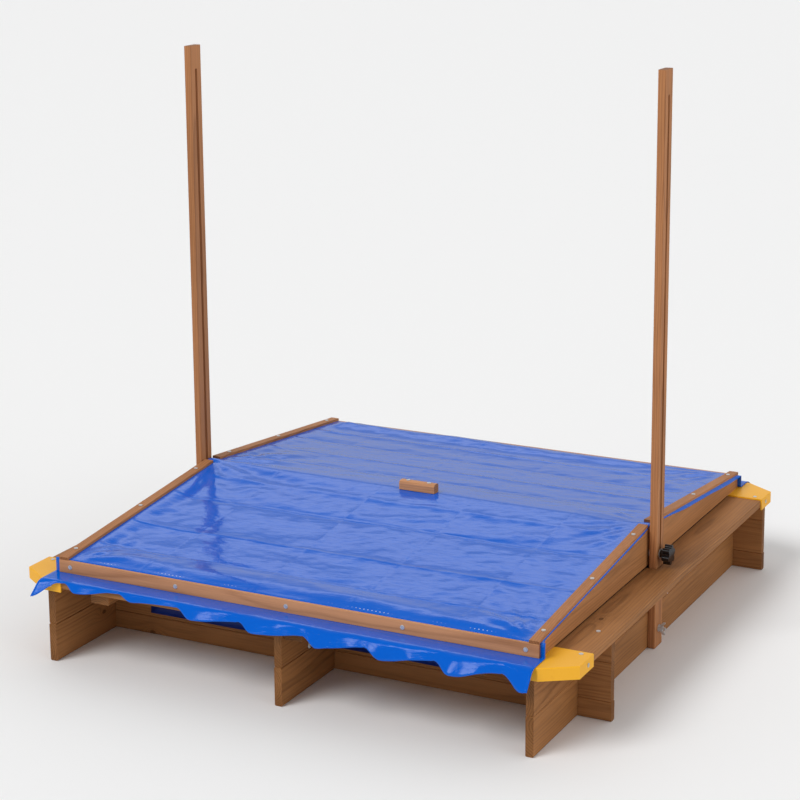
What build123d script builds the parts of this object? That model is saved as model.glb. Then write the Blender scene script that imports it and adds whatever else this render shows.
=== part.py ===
from build123d import *
import math
import os

os.makedirs("parts", exist_ok=True)

# Wooden sandbox with benches, corner caps and a height-adjustable tent cover.
# Units are millimetres. +Z is up, +X runs along the front edge, and the front
# faces -Y. The origin is on the ground, at the centre of the bench outline.

# ---- overall sizes -------------------------------------------------------
overall_x = 1200.0        # width over the benches
overall_y = 1200.0        # depth over the benches
post_height = 1180.0      # ground to the top of the posts

# ---- boards --------------------------------------------------------------
board_t = 16.0            # every sawn board is this thick
plank_h = 78.0            # a full wall plank
saw_cut = 1.0             # lost when a plank is ripped in two
edge_r = 2.5              # rounded long edges
lap = plank_h / 4.0       # depth of the edge laps in a full plank
lap_clear = 0.5           # side clearance of a lap
side_overhang = 70.0      # bench edge to the outer face of the side walls
back_overhang = 61.0      # bench edge to the outer face of the back wall
front_seat = 208.0        # bench edge to the outer face of the front wall
end_inset = 3.0           # wall ends stop short of the bench edge

# ---- benches -------------------------------------------------------------
side_bench_w = 78.0
front_board_w = 110.0
bench_gap = 2.0
corner_cut_x = 62.0       # the cut corner of the bench outline
corner_cut_y = 41.0
cleat_w = 42.0
cleat_t = 20.0
cleat_in = 191.0          # bench edge to the centre of an outer cleat
notch_clear = 1.0

# ---- corner caps ---------------------------------------------------------
cap_reach = 105.0         # from the bench edge inwards
cap_t = 3.0
cap_skirt = 22.0          # how far the sides reach below the bench top

# ---- posts and their bolts -----------------------------------------------
post_t = 16.0
post_w = 42.0
slot_w = 8.4
slot_run = 49.0           # solid wood above the slot
bolt_r = 3.0
wing_reach = 13.5

# ---- cover frame ---------------------------------------------------------
roof_gap = 5.0            # gable to post, and post face to wall line
rest_gap = 0.1            # the cover sits on the four caps
gable_inset = 59.0        # bench edge to the end of a gable board
gable_end_h = 29.5
ridge_rise = 80.9         # the ridge above the underside of the gables
rail_t = 16.0
batten_t = 6.0
batten_h = 26.5
strip_w = 20.0
strip_t = 5.5
strip_in = 0.5            # gable face to the strips and the batten ends
lath_r = 1.0              # rounded edges of the battens
strip_top_gap = 15.0      # the strips stop short of the ridge
ridge_beam_h = 38.5
handle_len = 83.0
handle_w = 21.0
handle_h = 19.0
handle_r = 6.0            # rounded top edges of the handle
sheet_t = 1.0
seam = 0.02               # hairline between the flat panels of one sheet
pivot_up = 27.0           # clamp bolt above the benches
pivot_r = 4.0
run_clear = 0.05          # running clearance, on radius
knob_r = 20.5
valance_over = 10.0       # the hem runs past the gables
valance_out = 30.0        # how far the hem stands out from the bench edge
valance_drop = 40.0       # the hem hangs this far below the benches

# ---- ground liner ----------------------------------------------------------
liner_low = 16.0          # the liner stops below the wall tops
flap_left_in = 185.0      # bench edge to the left end of the flap
flap_right_in = 338.0     # bench edge to its right end
flap_drop = 108.0         # how far the flap hangs down the front wall

# ---- screws ----------------------------------------------------------------
screw_r = 2.0
head_r = 4.2
head_h = 1.2
bench_screw_in = 33.0     # each distance with _in is from a bench edge
cap_screw_in_x = 17.0
cap_screw_in_y = 93.0
cap_side_in = 78.0
cap_front_in = 80.0
cap_side_down = 9.0       # below the bench top
cleat_screw_in = 55.0
cleat_screw_gap = 111.0   # one screw in each front bench board
stub_bolt_in = 110.0
stub_bolt_up = 8.0        # above the joint of the two stub planks
batten_screw_in = 26.0    # from the batten's end
strip_screw_first = 70.0  # from the ridge
strip_screw_in = 21.0     # from the gable's end
strip_screw_mid = 7.5     # the middle one sits nearer the ridge
handle_screw = 24.5

# ---- derived sizes -------------------------------------------------------
half_x = overall_x / 2
half_y = overall_y / 2
wall_x = half_x - side_overhang                 # outer face of a side wall
inner_x = wall_x - board_t
front_y = -half_y + front_seat                  # outer face of the front wall
back_y = half_y - back_overhang                 # outer face of the back wall
half_h = (plank_h - saw_cut) / 2
wall_top = 2 * plank_h
bench_top = wall_top + board_t
front_wall_top_z = 2 * half_h + plank_h
end_x = half_x - end_inset
end_y = half_y - end_inset
lap_w = board_t + 2 * lap_clear
front_mid_y = front_y + board_t / 2
back_mid_y = back_y - board_t / 2
side_mid_x = wall_x - board_t / 2
z1 = lap                                        # stacked lap levels
z2 = plank_h - lap
z3 = plank_h + lap
z4 = wall_top - lap
post_x = wall_x + post_t / 2
gable_x = wall_x - roof_gap                     # outer face of a gable
gable_half = half_y - gable_inset               # half length of a gable board
roof_z = bench_top + cap_t + rest_gap           # underside of the cover
ridge_z = roof_z + ridge_rise
pivot_z = bench_top + pivot_up
slot_bottom = pivot_z - 10
slot_top = post_height - slot_run
slope = (ridge_z - (roof_z + gable_end_h)) / gable_half
rail_out = gable_half + rail_t
sheet_x = gable_x + 1.0
valance_x = gable_x + valance_over
valance_z = bench_top - valance_drop
strip_out = gable_x - strip_in                  # outer edge of a strip
batten_x = strip_out
cleat_x = half_x - cleat_in
liner_h = wall_top - liner_low
flap_x0 = -half_x + flap_left_in
flap_x1 = half_x - flap_right_in
flap_z = front_wall_top_z - flap_drop
bench_screw_x = half_x - bench_screw_in
cap_screw_x = half_x - cap_screw_in_x
cap_screw_y = half_y - cap_screw_in_y
cap_side_y = half_y - cap_side_in
cap_side_z = bench_top - cap_side_down
cap_front_x = half_x - cap_front_in
cleat_screw_ys = (-half_y + cleat_screw_in, -half_y + cleat_screw_in + cleat_screw_gap)
stub_bolt_y = -half_y + stub_bolt_in
stub_bolt_z = plank_h + stub_bolt_up
batten_end = batten_x - batten_screw_in
batten_screw_xs = (-batten_end, -round(batten_end / 2), 0, round(batten_end / 2), batten_end)
strip_screw_last = gable_half - strip_screw_in
strip_screw_ys = (strip_screw_first, (strip_screw_first + strip_screw_last) / 2 - strip_screw_mid, strip_screw_last)
seat_in = half_x - side_bench_w                 # inner edge of a side bench


def strip_base(y):
    """Height of the top of the sheet at a distance y from the ridge."""
    return ridge_z + sheet_t - slope * y


def board(x0, x1, y0, y1, za, zb, along):
    """A board with its four long edges rounded, in the current part."""
    with Locations(((x0 + x1) / 2, (y0 + y1) / 2, (za + zb) / 2)):
        b = Box(x1 - x0, y1 - y0, zb - za)
    fillet(b.edges().filter_by(along), radius=edge_r)


def cut(x0, x1, y0, y1, za, zb):
    """Takes a square-edged block out of the current part."""
    with Locations(((x0 + x1) / 2, (y0 + y1) / 2, (za + zb) / 2)):
        Box(x1 - x0, y1 - y0, zb - za, mode=Mode.SUBTRACT)


def block(x0, x1, y0, y1, za, zb):
    """Adds a square-edged block to the current part."""
    with Locations(((x0 + x1) / 2, (y0 + y1) / 2, (za + zb) / 2)):
        Box(x1 - x0, y1 - y0, zb - za)


def rod_x(xa, xb, y, z, r, mode=Mode.ADD):
    """A round bar along X from xa to xb."""
    with Locations(Location(((xa + xb) / 2, y, z), (0, 90, 0))):
        Cylinder(radius=r, height=abs(xb - xa), mode=mode)


def rod_y(ya, yb, x, z, r, mode=Mode.ADD):
    """A round bar along Y from ya to yb."""
    with Locations(Location((x, (ya + yb) / 2, z), (90, 0, 0))):
        Cylinder(radius=r, height=abs(yb - ya), mode=mode)


def rod_z(za, zb, x, y, r, mode=Mode.ADD):
    """A round bar along Z from za to zb."""
    with Locations((x, y, (za + zb) / 2)):
        Cylinder(radius=r, height=abs(zb - za), mode=mode)


def prism_x(points, xa, xb):
    """Extrudes a (y, z) outline along X from xa to xb."""
    with BuildSketch(Plane.YZ.offset(xa)) as outline:
        with BuildLine():
            Polyline(*points, close=True)
        make_face()
    extrude(outline.sketch, amount=xb - xa)


def prism_z(points, za, zb, mode=Mode.ADD):
    """Extrudes an (x, y) outline along Z from za to zb."""
    with BuildSketch(Plane.XY.offset(za)) as outline:
        with BuildLine():
            Polyline(*points, close=True)
        make_face()
    extrude(outline.sketch, amount=zb - za, mode=mode)


# ==========================================================================
# Box walls: planks crossed with edge laps, so they lock without brackets
# ==========================================================================
with BuildPart() as right_wall_lower:
    board(inner_x, wall_x, -end_y - 1.5, end_y + 1.5, 0, plank_h, Axis.Y)
    for cy in (front_mid_y, back_mid_y):
        cut(inner_x - 1, wall_x + 1, cy - lap_w / 2, cy + lap_w / 2, -1, z1)
        cut(inner_x - 1, wall_x + 1, cy - lap_w / 2, cy + lap_w / 2, z2, plank_h + 1)
    rod_x(inner_x - 1, wall_x + 1, 0, plank_h / 2, bolt_r + 0.5, Mode.SUBTRACT)
right_wall_lower.part.label = "right_wall_lower"
export_step(right_wall_lower.part, "parts/right_wall_lower.step")

with BuildPart() as right_wall_upper:
    board(inner_x, wall_x, -end_y, end_y, plank_h, wall_top, Axis.Y)
    for cy in (front_mid_y, back_mid_y):
        cut(inner_x - 1, wall_x + 1, cy - lap_w / 2, cy + lap_w / 2, plank_h - 1, z3)
        cut(inner_x - 1, wall_x + 1, cy - lap_w / 2, cy + lap_w / 2, z4, wall_top + 1)
    rod_x(inner_x - 1, wall_x + 1, 0, plank_h * 1.5, bolt_r + 0.5, Mode.SUBTRACT)
right_wall_upper.part.label = "right_wall_upper"
export_step(right_wall_upper.part, "parts/right_wall_upper.step")

with BuildPart() as left_wall_lower:
    add(mirror(right_wall_lower.part, about=Plane.YZ))
left_wall_lower.part.label = "left_wall_lower"
export_step(left_wall_lower.part, "parts/left_wall_lower.step")

with BuildPart() as left_wall_upper:
    add(mirror(right_wall_upper.part, about=Plane.YZ))
left_wall_upper.part.label = "left_wall_upper"
export_step(left_wall_upper.part, "parts/left_wall_upper.step")

with BuildPart() as front_wall_bottom:
    board(-end_x - 1, end_x + 1, front_y, front_y + board_t, 0, half_h, Axis.X)
    for cx in (-side_mid_x, 0, side_mid_x):
        cut(cx - lap_w / 2, cx + lap_w / 2, front_y - 1, front_y + board_t + 1, z1, half_h + 1)
front_wall_bottom.part.label = "front_wall_bottom"
export_step(front_wall_bottom.part, "parts/front_wall_bottom.step")

with BuildPart() as front_wall_middle:
    board(-end_x, end_x, front_y, front_y + board_t, half_h, half_h + plank_h, Axis.X)
    for cx in (-side_mid_x, 0, side_mid_x):
        cut(cx - lap_w / 2, cx + lap_w / 2, front_y - 1, front_y + board_t + 1, half_h - 1, z2)
        cut(cx - lap_w / 2, cx + lap_w / 2, front_y - 1, front_y + board_t + 1, z3, half_h + plank_h + 1)
front_wall_middle.part.label = "front_wall_middle"
export_step(front_wall_middle.part, "parts/front_wall_middle.step")

with BuildPart() as front_wall_top:
    board(-end_x, end_x, front_y, front_y + board_t, half_h + plank_h, front_wall_top_z, Axis.X)
    for cx in (-side_mid_x, 0, side_mid_x):
        cut(cx - lap_w / 2, cx + lap_w / 2, front_y - 1, front_y + board_t + 1, half_h + plank_h - 1, z4)
front_wall_top.part.label = "front_wall_top"
export_step(front_wall_top.part, "parts/front_wall_top.step")

with BuildPart() as back_wall_bottom:
    board(-end_x - 1, end_x + 1, back_y - board_t, back_y, 0, half_h, Axis.X)
    for cx in (-side_mid_x, side_mid_x):
        cut(cx - lap_w / 2, cx + lap_w / 2, back_y - board_t - 1, back_y + 1, z1, half_h + 1)
back_wall_bottom.part.label = "back_wall_bottom"
export_step(back_wall_bottom.part, "parts/back_wall_bottom.step")

with BuildPart() as back_wall_middle:
    board(-end_x, end_x, back_y - board_t, back_y, half_h, half_h + plank_h, Axis.X)
    for cx in (-side_mid_x, side_mid_x):
        cut(cx - lap_w / 2, cx + lap_w / 2, back_y - board_t - 1, back_y + 1, half_h - 1, z2)
        cut(cx - lap_w / 2, cx + lap_w / 2, back_y - board_t - 1, back_y + 1, z3, half_h + plank_h + 1)
back_wall_middle.part.label = "back_wall_middle"
export_step(back_wall_middle.part, "parts/back_wall_middle.step")

with BuildPart() as back_wall_top:
    board(-end_x, end_x, back_y - board_t, back_y, half_h + plank_h, front_wall_top_z, Axis.X)
    for cx in (-side_mid_x, side_mid_x):
        cut(cx - lap_w / 2, cx + lap_w / 2, back_y - board_t - 1, back_y + 1, half_h + plank_h - 1, z4)
back_wall_top.part.label = "back_wall_top"
export_step(back_wall_top.part, "parts/back_wall_top.step")

# The stub wall carries the middle of the deep front bench. Its ends are
# notched to sit in the laps of the front wall and stop flush behind it.
with BuildPart() as stub_lower:
    board(-board_t / 2, board_t / 2, -end_y - 1.5, front_y + board_t, 0, plank_h, Axis.Y)
    cut(-board_t, board_t, front_y - lap_clear, front_y + board_t + 1, -1, z1)
    cut(-board_t, board_t, front_y - lap_clear, front_y + board_t + 1, z2, plank_h + 1)
stub_lower.part.label = "stub_lower"
export_step(stub_lower.part, "parts/stub_lower.step")

with BuildPart() as stub_upper:
    board(-board_t / 2, board_t / 2, -end_y, front_y + board_t, plank_h, wall_top, Axis.Y)
    cut(-board_t, board_t, front_y - lap_clear, front_y + board_t + 1, plank_h - 1, z3)
    cut(-board_t, board_t, front_y - lap_clear, front_y + board_t + 1, z4, wall_top + 1)
    rod_x(-board_t, board_t, stub_bolt_y, stub_bolt_z, bolt_r + 0.5, Mode.SUBTRACT)
stub_upper.part.label = "stub_upper"
export_step(stub_upper.part, "parts/stub_upper.step")

# ==========================================================================
# Benches
# ==========================================================================
with BuildPart() as right_bench:
    board(seat_in, half_x, -half_y, half_y, wall_top, bench_top, Axis.Y)
    for s in (-1, 1):
        prism_z([(half_x - corner_cut_x, s * (half_y + 1)), (half_x - corner_cut_x, s * half_y),
                 (half_x, s * (half_y - corner_cut_y)), (half_x + 1, s * (half_y - corner_cut_y)),
                 (half_x + 1, s * (half_y + 1))], wall_top - 1, bench_top + 1, Mode.SUBTRACT)
    cut(seat_in - 1, wall_x + post_t + notch_clear, -post_w / 2 - notch_clear,
        post_w / 2 + notch_clear, wall_top - 1, bench_top + 1)
right_bench.part.label = "right_bench"
export_step(right_bench.part, "parts/right_bench.step")

with BuildPart() as left_bench:
    add(mirror(right_bench.part, about=Plane.YZ))
left_bench.part.label = "left_bench"
export_step(left_bench.part, "parts/left_bench.step")

with BuildPart() as front_bench_outer:
    board(-seat_in + bench_gap, seat_in - bench_gap, -half_y, -half_y + front_board_w, wall_top, bench_top, Axis.X)
front_bench_outer.part.label = "front_bench_outer"
export_step(front_bench_outer.part, "parts/front_bench_outer.step")

with BuildPart() as front_bench_inner:
    board(-seat_in + bench_gap, seat_in - bench_gap, -half_y + front_board_w + bench_gap,
          -half_y + 2 * front_board_w + bench_gap, wall_top, bench_top, Axis.X)
front_bench_inner.part.label = "front_bench_inner"
export_step(front_bench_inner.part, "parts/front_bench_inner.step")

with BuildPart() as back_bench:
    board(-seat_in + bench_gap, seat_in - bench_gap, half_y - side_bench_w, half_y, wall_top, bench_top, Axis.X)
back_bench.part.label = "back_bench"
export_step(back_bench.part, "parts/back_bench.step")

# Cleats under the front bench join its two boards.
with BuildPart() as cleat_left:
    board(-cleat_x - cleat_w / 2, -cleat_x + cleat_w / 2, -half_y + 8, front_y - 3, wall_top - cleat_t, wall_top, Axis.Y)
    for cy in cleat_screw_ys:
        rod_z(wall_top - cleat_t - 1, wall_top + 1, -cleat_x, cy, screw_r, Mode.SUBTRACT)
cleat_left.part.label = "cleat_left"
export_step(cleat_left.part, "parts/cleat_left.step")

with BuildPart() as cleat_right:
    add(mirror(cleat_left.part, about=Plane.YZ))
cleat_right.part.label = "cleat_right"
export_step(cleat_right.part, "parts/cleat_right.step")

with BuildPart() as cleat_middle:
    add(cleat_left.part.moved(Location((cleat_x + board_t / 2 + cleat_w / 2 + 1, 0, 0))))
cleat_middle.part.label = "cleat_middle"
export_step(cleat_middle.part, "parts/cleat_middle.step")

# ==========================================================================
# Corner caps: a thin moulded plate with a skirt round the outer edges
# ==========================================================================
run_d = math.hypot(corner_cut_x, corner_cut_y)
cap_shift = cap_t * run_d / corner_cut_y - cap_t * corner_cut_x / corner_cut_y
cap_shift_y = cap_t * run_d / corner_cut_x - cap_t * corner_cut_y / corner_cut_x
cap_in_x = half_x - cap_reach
cap_in_y = half_y - cap_reach
cap_outline = [(cap_in_x, -cap_in_y), (half_x + cap_t, -cap_in_y),
               (half_x + cap_t, -half_y + corner_cut_y - cap_shift_y),
               (half_x - corner_cut_x + cap_shift, -half_y - cap_t), (cap_in_x, -half_y - cap_t)]
cap_inside = [(cap_in_x - 1, -cap_in_y + 1), (half_x, -cap_in_y + 1), (half_x, -half_y + corner_cut_y),
              (half_x - corner_cut_x, -half_y), (cap_in_x - 1, -half_y)]
with BuildPart() as cap_front_right:
    prism_z(cap_outline, bench_top - cap_skirt, bench_top + cap_t)
    rim = [e for e in cap_front_right.faces().sort_by(Axis.Z)[-1].edges()
           if e.center().X > half_x - 1 or e.center().Y < -half_y + 1 or
           (e.center().X > half_x - corner_cut_x and e.center().Y < -half_y + corner_cut_y)]
    fillet(rim, radius=cap_t - 0.6)
    prism_z(cap_inside, bench_top - cap_skirt - 1, bench_top, Mode.SUBTRACT)
    rod_z(bench_top - 1, bench_top + cap_t + 1, cap_screw_x, -cap_screw_y, screw_r, Mode.SUBTRACT)
    rod_x(half_x - 1, half_x + cap_t + 1, -cap_side_y, cap_side_z, screw_r, Mode.SUBTRACT)
    rod_y(-half_y - cap_t - 1, -half_y + 1, cap_front_x, cap_side_z, screw_r, Mode.SUBTRACT)
cap_front_right.part.label = "cap_front_right"
export_step(cap_front_right.part, "parts/cap_front_right.step")

with BuildPart() as cap_front_left:
    add(mirror(cap_front_right.part, about=Plane.YZ))
cap_front_left.part.label = "cap_front_left"
export_step(cap_front_left.part, "parts/cap_front_left.step")

with BuildPart() as cap_back_right:
    add(mirror(cap_front_right.part, about=Plane.XZ))
cap_back_right.part.label = "cap_back_right"
export_step(cap_back_right.part, "parts/cap_back_right.step")

with BuildPart() as cap_back_left:
    add(mirror(cap_front_left.part, about=Plane.XZ))
cap_back_left.part.label = "cap_back_left"
export_step(cap_back_left.part, "parts/cap_back_left.step")

# ==========================================================================
# Posts: one slotted board on each side, bolted through the side wall
# ==========================================================================
with BuildPart() as right_post:
    board(wall_x, wall_x + post_t, -post_w / 2, post_w / 2, 0, post_height, Axis.Z)
    chamfer(right_post.faces().sort_by(Axis.Z)[0].edges(), length=1.5)
    cut(wall_x - 1, wall_x + post_t + 1, -slot_w / 2, slot_w / 2, slot_bottom + slot_w / 2, slot_top - slot_w / 2)
    for sz in (slot_bottom + slot_w / 2, slot_top - slot_w / 2):
        rod_x(wall_x - 1, wall_x + post_t + 1, 0, sz, slot_w / 2, Mode.SUBTRACT)
    for bz in (plank_h / 2, plank_h * 1.5):
        rod_x(wall_x - 1, wall_x + post_t + 1, 0, bz, bolt_r + 0.5, Mode.SUBTRACT)
right_post.part.label = "right_post"
export_step(right_post.part, "parts/right_post.step")

with BuildPart() as left_post:
    add(mirror(right_post.part, about=Plane.YZ))
left_post.part.label = "left_post"
export_step(left_post.part, "parts/left_post.step")

# Round-headed bolts from inside the box, four off.
with BuildPart() as post_bolts:
    for s in (-1, 1):
        for bz in (plank_h / 2, plank_h * 1.5):
            rod_x(s * inner_x, s * (wall_x + post_t + 15.0), 0, bz, bolt_r)
            with Locations(Location((s * (inner_x - 1.6), 0, bz), (0, -90 * s, 0))):
                Cone(bottom_radius=7.5, top_radius=4.5, height=3.2)
post_bolts.part.label = "post_bolts"
export_step(post_bolts.part, "parts/post_bolts.step")

with BuildPart() as post_washers:
    for s in (-1, 1):
        for bz in (plank_h / 2, plank_h * 1.5):
            rod_x(s * (wall_x + post_t), s * (wall_x + post_t + 1.5), 0, bz, 7.5)
            rod_x(s * (wall_x + post_t - 1), s * (wall_x + post_t + 2.5), 0, bz, bolt_r, Mode.SUBTRACT)
post_washers.part.label = "post_washers"
export_step(post_washers.part, "parts/post_washers.step")

nut_x = wall_x + post_t + 1.6
with BuildPart() as wing_nut_right_lower:
    with Locations(Location((nut_x + 4.0, 0, plank_h / 2), (0, 90, 0))):
        Cone(bottom_radius=6.5, top_radius=5.0, height=8.0)
    with BuildSketch(Plane.XZ.offset(-1.2)) as wings:
        for s in (-1, 1):
            with BuildLine():
                Polyline((nut_x + 1.5, plank_h / 2 + s * 4.0), (nut_x + 6.0, plank_h / 2 + s * 4.0),
                         (nut_x + 12.5, plank_h / 2 + s * (wing_reach - 3.5)),
                         (nut_x + 12.5, plank_h / 2 + s * wing_reach),
                         (nut_x + 8.0, plank_h / 2 + s * (wing_reach - 0.5)),
                         (nut_x + 1.5, plank_h / 2 + s * 6.4), close=True)
            make_face()
    extrude(wings.sketch, amount=2.4)
    rod_x(nut_x - 1, nut_x + 14, 0, plank_h / 2, bolt_r + run_clear, Mode.SUBTRACT)
wing_nut_right_lower.part.label = "wing_nut_right_lower"
export_step(wing_nut_right_lower.part, "parts/wing_nut_right_lower.step")

with BuildPart() as wing_nut_right_upper:
    add(wing_nut_right_lower.part.rotate(Axis((0, 0, plank_h / 2), (1, 0, 0)), 70).moved(Location((0, 0, plank_h))))
wing_nut_right_upper.part.label = "wing_nut_right_upper"
export_step(wing_nut_right_upper.part, "parts/wing_nut_right_upper.step")

with BuildPart() as wing_nut_left_lower:
    add(mirror(wing_nut_right_lower.part, about=Plane.YZ))
wing_nut_left_lower.part.label = "wing_nut_left_lower"
export_step(wing_nut_left_lower.part, "parts/wing_nut_left_lower.step")

with BuildPart() as wing_nut_left_upper:
    add(mirror(wing_nut_right_upper.part, about=Plane.YZ))
wing_nut_left_upper.part.label = "wing_nut_left_upper"
export_step(wing_nut_left_upper.part, "parts/wing_nut_left_upper.step")

# ==========================================================================
# Ground liner: flat panels of one sheet, with a flap over the front wall
# ==========================================================================
liner_x = inner_x - 4.0
liner_y0 = front_y + board_t
liner_y1 = back_y - board_t
with BuildPart() as ground_liner:
    block(-liner_x, liner_x, liner_y0, liner_y1, 0, sheet_t)
    side_y0 = liner_y0 + sheet_t + seam
    side_y1 = liner_y1 - sheet_t - seam
    block(liner_x - sheet_t, liner_x, side_y0, side_y1, sheet_t + seam, liner_h)
    block(-liner_x, -liner_x + sheet_t, side_y0, side_y1, sheet_t + seam, liner_h)
    block(-liner_x, liner_x, liner_y1 - sheet_t, liner_y1, sheet_t + seam, liner_h)
    block(-liner_x, liner_x, liner_y0, liner_y0 + sheet_t, sheet_t + seam, front_wall_top_z - seam)
    block(flap_x0, flap_x1, front_y + seam, liner_y0 + sheet_t, front_wall_top_z, front_wall_top_z + sheet_t)
    block(flap_x0, -board_t / 2 - 1, front_y - sheet_t, front_y, flap_z, front_wall_top_z + sheet_t)
    block(board_t / 2 + 1, flap_x1, front_y - sheet_t, front_y, flap_z, front_wall_top_z + sheet_t)
ground_liner.part.label = "ground_liner"
export_step(ground_liner.part, "parts/ground_liner.step")

# ==========================================================================
# Cover frame
# ==========================================================================
with BuildPart() as right_gable:
    prism_x([(-gable_half, roof_z), (gable_half, roof_z), (gable_half, roof_z + gable_end_h),
             (0, ridge_z), (-gable_half, roof_z + gable_end_h)], gable_x - board_t, gable_x)
    rod_x(gable_x - board_t - 1, gable_x + 1, 0, pivot_z, pivot_r + run_clear, Mode.SUBTRACT)
right_gable.part.label = "right_gable"
export_step(right_gable.part, "parts/right_gable.step")

with BuildPart() as left_gable:
    add(mirror(right_gable.part, about=Plane.YZ))
left_gable.part.label = "left_gable"
export_step(left_gable.part, "parts/left_gable.step")

rail_top = ridge_z - slope * rail_out - 0.2
with BuildPart() as front_rail:
    block(-gable_x, gable_x, -rail_out, -gable_half, roof_z, rail_top)
front_rail.part.label = "front_rail"
export_step(front_rail.part, "parts/front_rail.step")

with BuildPart() as back_rail:
    add(mirror(front_rail.part, about=Plane.XZ))
back_rail.part.label = "back_rail"
export_step(back_rail.part, "parts/back_rail.step")

with BuildPart() as ridge_beam:
    block(-gable_x + board_t, gable_x - board_t, -board_t / 2, board_t / 2,
          ridge_z - slope * board_t / 2 - ridge_beam_h, ridge_z - slope * board_t / 2 - 0.1)
ridge_beam.part.label = "ridge_beam"
export_step(ridge_beam.part, "parts/ridge_beam.step")

# The cover sheet: two slopes, and a front and a back valance, as thin panels
# that meet edge to edge. The valances lie over the bench edge and hang out.
batten_z = roof_z + 1.4
with BuildPart() as cover_sheet:
    for s in (-1, 1):
        y_in, y_out = s * rail_out, s * (rail_out + sheet_t)
        z_top, z_low = ridge_z - slope * seam, ridge_z - slope * (rail_out + sheet_t)
        prism_x([(s * seam, z_top), (y_out, z_low), (y_out, z_low + sheet_t), (s * seam, z_top + sheet_t)],
                -sheet_x, sheet_x)
        block(-sheet_x, sheet_x, min(y_in, y_out), max(y_in, y_out), roof_z + sheet_t + seam,
              ridge_z - slope * (rail_out + sheet_t) - seam)
        y_lip = s * (half_y + cap_t + 1.5)
        block(-valance_x, valance_x, min(y_in, y_lip), max(y_in, y_lip), roof_z, roof_z + sheet_t)
        y_hem = s * (half_y + valance_out)
        y_top = y_lip + s * seam
        prism_x([(y_top, roof_z), (y_hem, valance_z), (y_hem + s * sheet_t, valance_z),
                 (y_top + s * sheet_t, roof_z + sheet_t), (y_top, roof_z + sheet_t)], -valance_x, valance_x)
cover_sheet.part.label = "cover_sheet"
export_step(cover_sheet.part, "parts/cover_sheet.step")

batten_y0 = rail_out + sheet_t
with BuildPart() as front_batten:
    block(-batten_x, batten_x, -batten_y0 - batten_t, -batten_y0, batten_z, batten_z + batten_h)
    fillet(front_batten.edges().filter_by(Axis.X), radius=lath_r)
    for cx in batten_screw_xs:
        rod_y(-batten_y0 - batten_t - 1, -batten_y0 + 1, cx, batten_z + batten_h / 2, screw_r, Mode.SUBTRACT)
front_batten.part.label = "front_batten"
export_step(front_batten.part, "parts/front_batten.step")

with BuildPart() as back_batten:
    add(mirror(front_batten.part, about=Plane.XZ))
back_batten.part.label = "back_batten"
export_step(back_batten.part, "parts/back_batten.step")

# Strips lie on the slopes over the gables and clamp the sheet's sides.
strip_y0 = batten_y0 + batten_t - 0.5
strip_end_z = strip_base(strip_y0)
with BuildPart() as strip_front_right:
    prism_x([(-strip_top_gap, strip_base(strip_top_gap)), (-strip_y0, strip_end_z), (-strip_y0, strip_end_z + strip_t),
             (-strip_top_gap, strip_base(strip_top_gap) + strip_t)], strip_out - strip_w, strip_out)
    # On a steeper roof the lower end is planed to sit on the batten.
    cut(strip_out - strip_w - 1, strip_out + 1, -strip_y0 - 1, -batten_y0 + 0.2,
        batten_z, batten_z + batten_h + 0.4)
    for cy in strip_screw_ys:
        rod_z(strip_base(cy) - 5, strip_base(cy) + strip_t + 5, strip_out - strip_w / 2, -cy, screw_r, Mode.SUBTRACT)
strip_front_right.part.label = "strip_front_right"
export_step(strip_front_right.part, "parts/strip_front_right.step")

with BuildPart() as strip_front_left:
    add(mirror(strip_front_right.part, about=Plane.YZ))
strip_front_left.part.label = "strip_front_left"
export_step(strip_front_left.part, "parts/strip_front_left.step")

with BuildPart() as strip_back_right:
    add(mirror(strip_front_right.part, about=Plane.XZ))
strip_back_right.part.label = "strip_back_right"
export_step(strip_back_right.part, "parts/strip_back_right.step")

with BuildPart() as strip_back_left:
    add(mirror(strip_front_left.part, about=Plane.XZ))
strip_back_left.part.label = "strip_back_left"
export_step(strip_back_left.part, "parts/strip_back_left.step")

with BuildPart() as ridge_handle:
    block(-handle_len / 2, handle_len / 2, -handle_w / 2, handle_w / 2,
          ridge_z + sheet_t, ridge_z + sheet_t + handle_h)
    fillet(ridge_handle.edges().filter_by(Axis.X).group_by(Axis.Z)[-1], radius=handle_r)
    for cx in (-handle_screw, handle_screw):
        rod_z(ridge_z, ridge_z + sheet_t + handle_h + 1, cx, 0, screw_r, Mode.SUBTRACT)
ridge_handle.part.label = "ridge_handle"
export_step(ridge_handle.part, "parts/ridge_handle.step")

# ==========================================================================
# Clamp bolts: they slide in the post slots, and the gables turn on them
# ==========================================================================
with BuildPart() as clamp_bolts:
    for s in (-1, 1):
        rod_x(s * (gable_x - board_t - 0.3), s * (wall_x + post_t + 22.0), 0, pivot_z, pivot_r)
        with Locations(Location((s * (gable_x - board_t - 0.3 - 2.6), 0, pivot_z), (0, -90 * s, 0))):
            Cone(bottom_radius=10.0, top_radius=6.0, height=5.2)
clamp_bolts.part.label = "clamp_bolts"
export_step(clamp_bolts.part, "parts/clamp_bolts.step")

with BuildPart() as clamp_spacers:
    for s in (-1, 1):
        rod_x(s * (gable_x + 0.3), s * (wall_x - 0.3), 0, pivot_z, 10.0)
        rod_x(s * gable_x, s * wall_x, 0, pivot_z, pivot_r, Mode.SUBTRACT)
clamp_spacers.part.label = "clamp_spacers"
export_step(clamp_spacers.part, "parts/clamp_spacers.step")

with BuildPart() as clamp_washers:
    for s in (-1, 1):
        rod_x(s * (wall_x + post_t + 0.3), s * (wall_x + post_t + 1.9), 0, pivot_z, 10.0)
        rod_x(s * (wall_x + post_t), s * (wall_x + post_t + 3), 0, pivot_z, pivot_r, Mode.SUBTRACT)
clamp_washers.part.label = "clamp_washers"
export_step(clamp_washers.part, "parts/clamp_washers.step")

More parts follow.
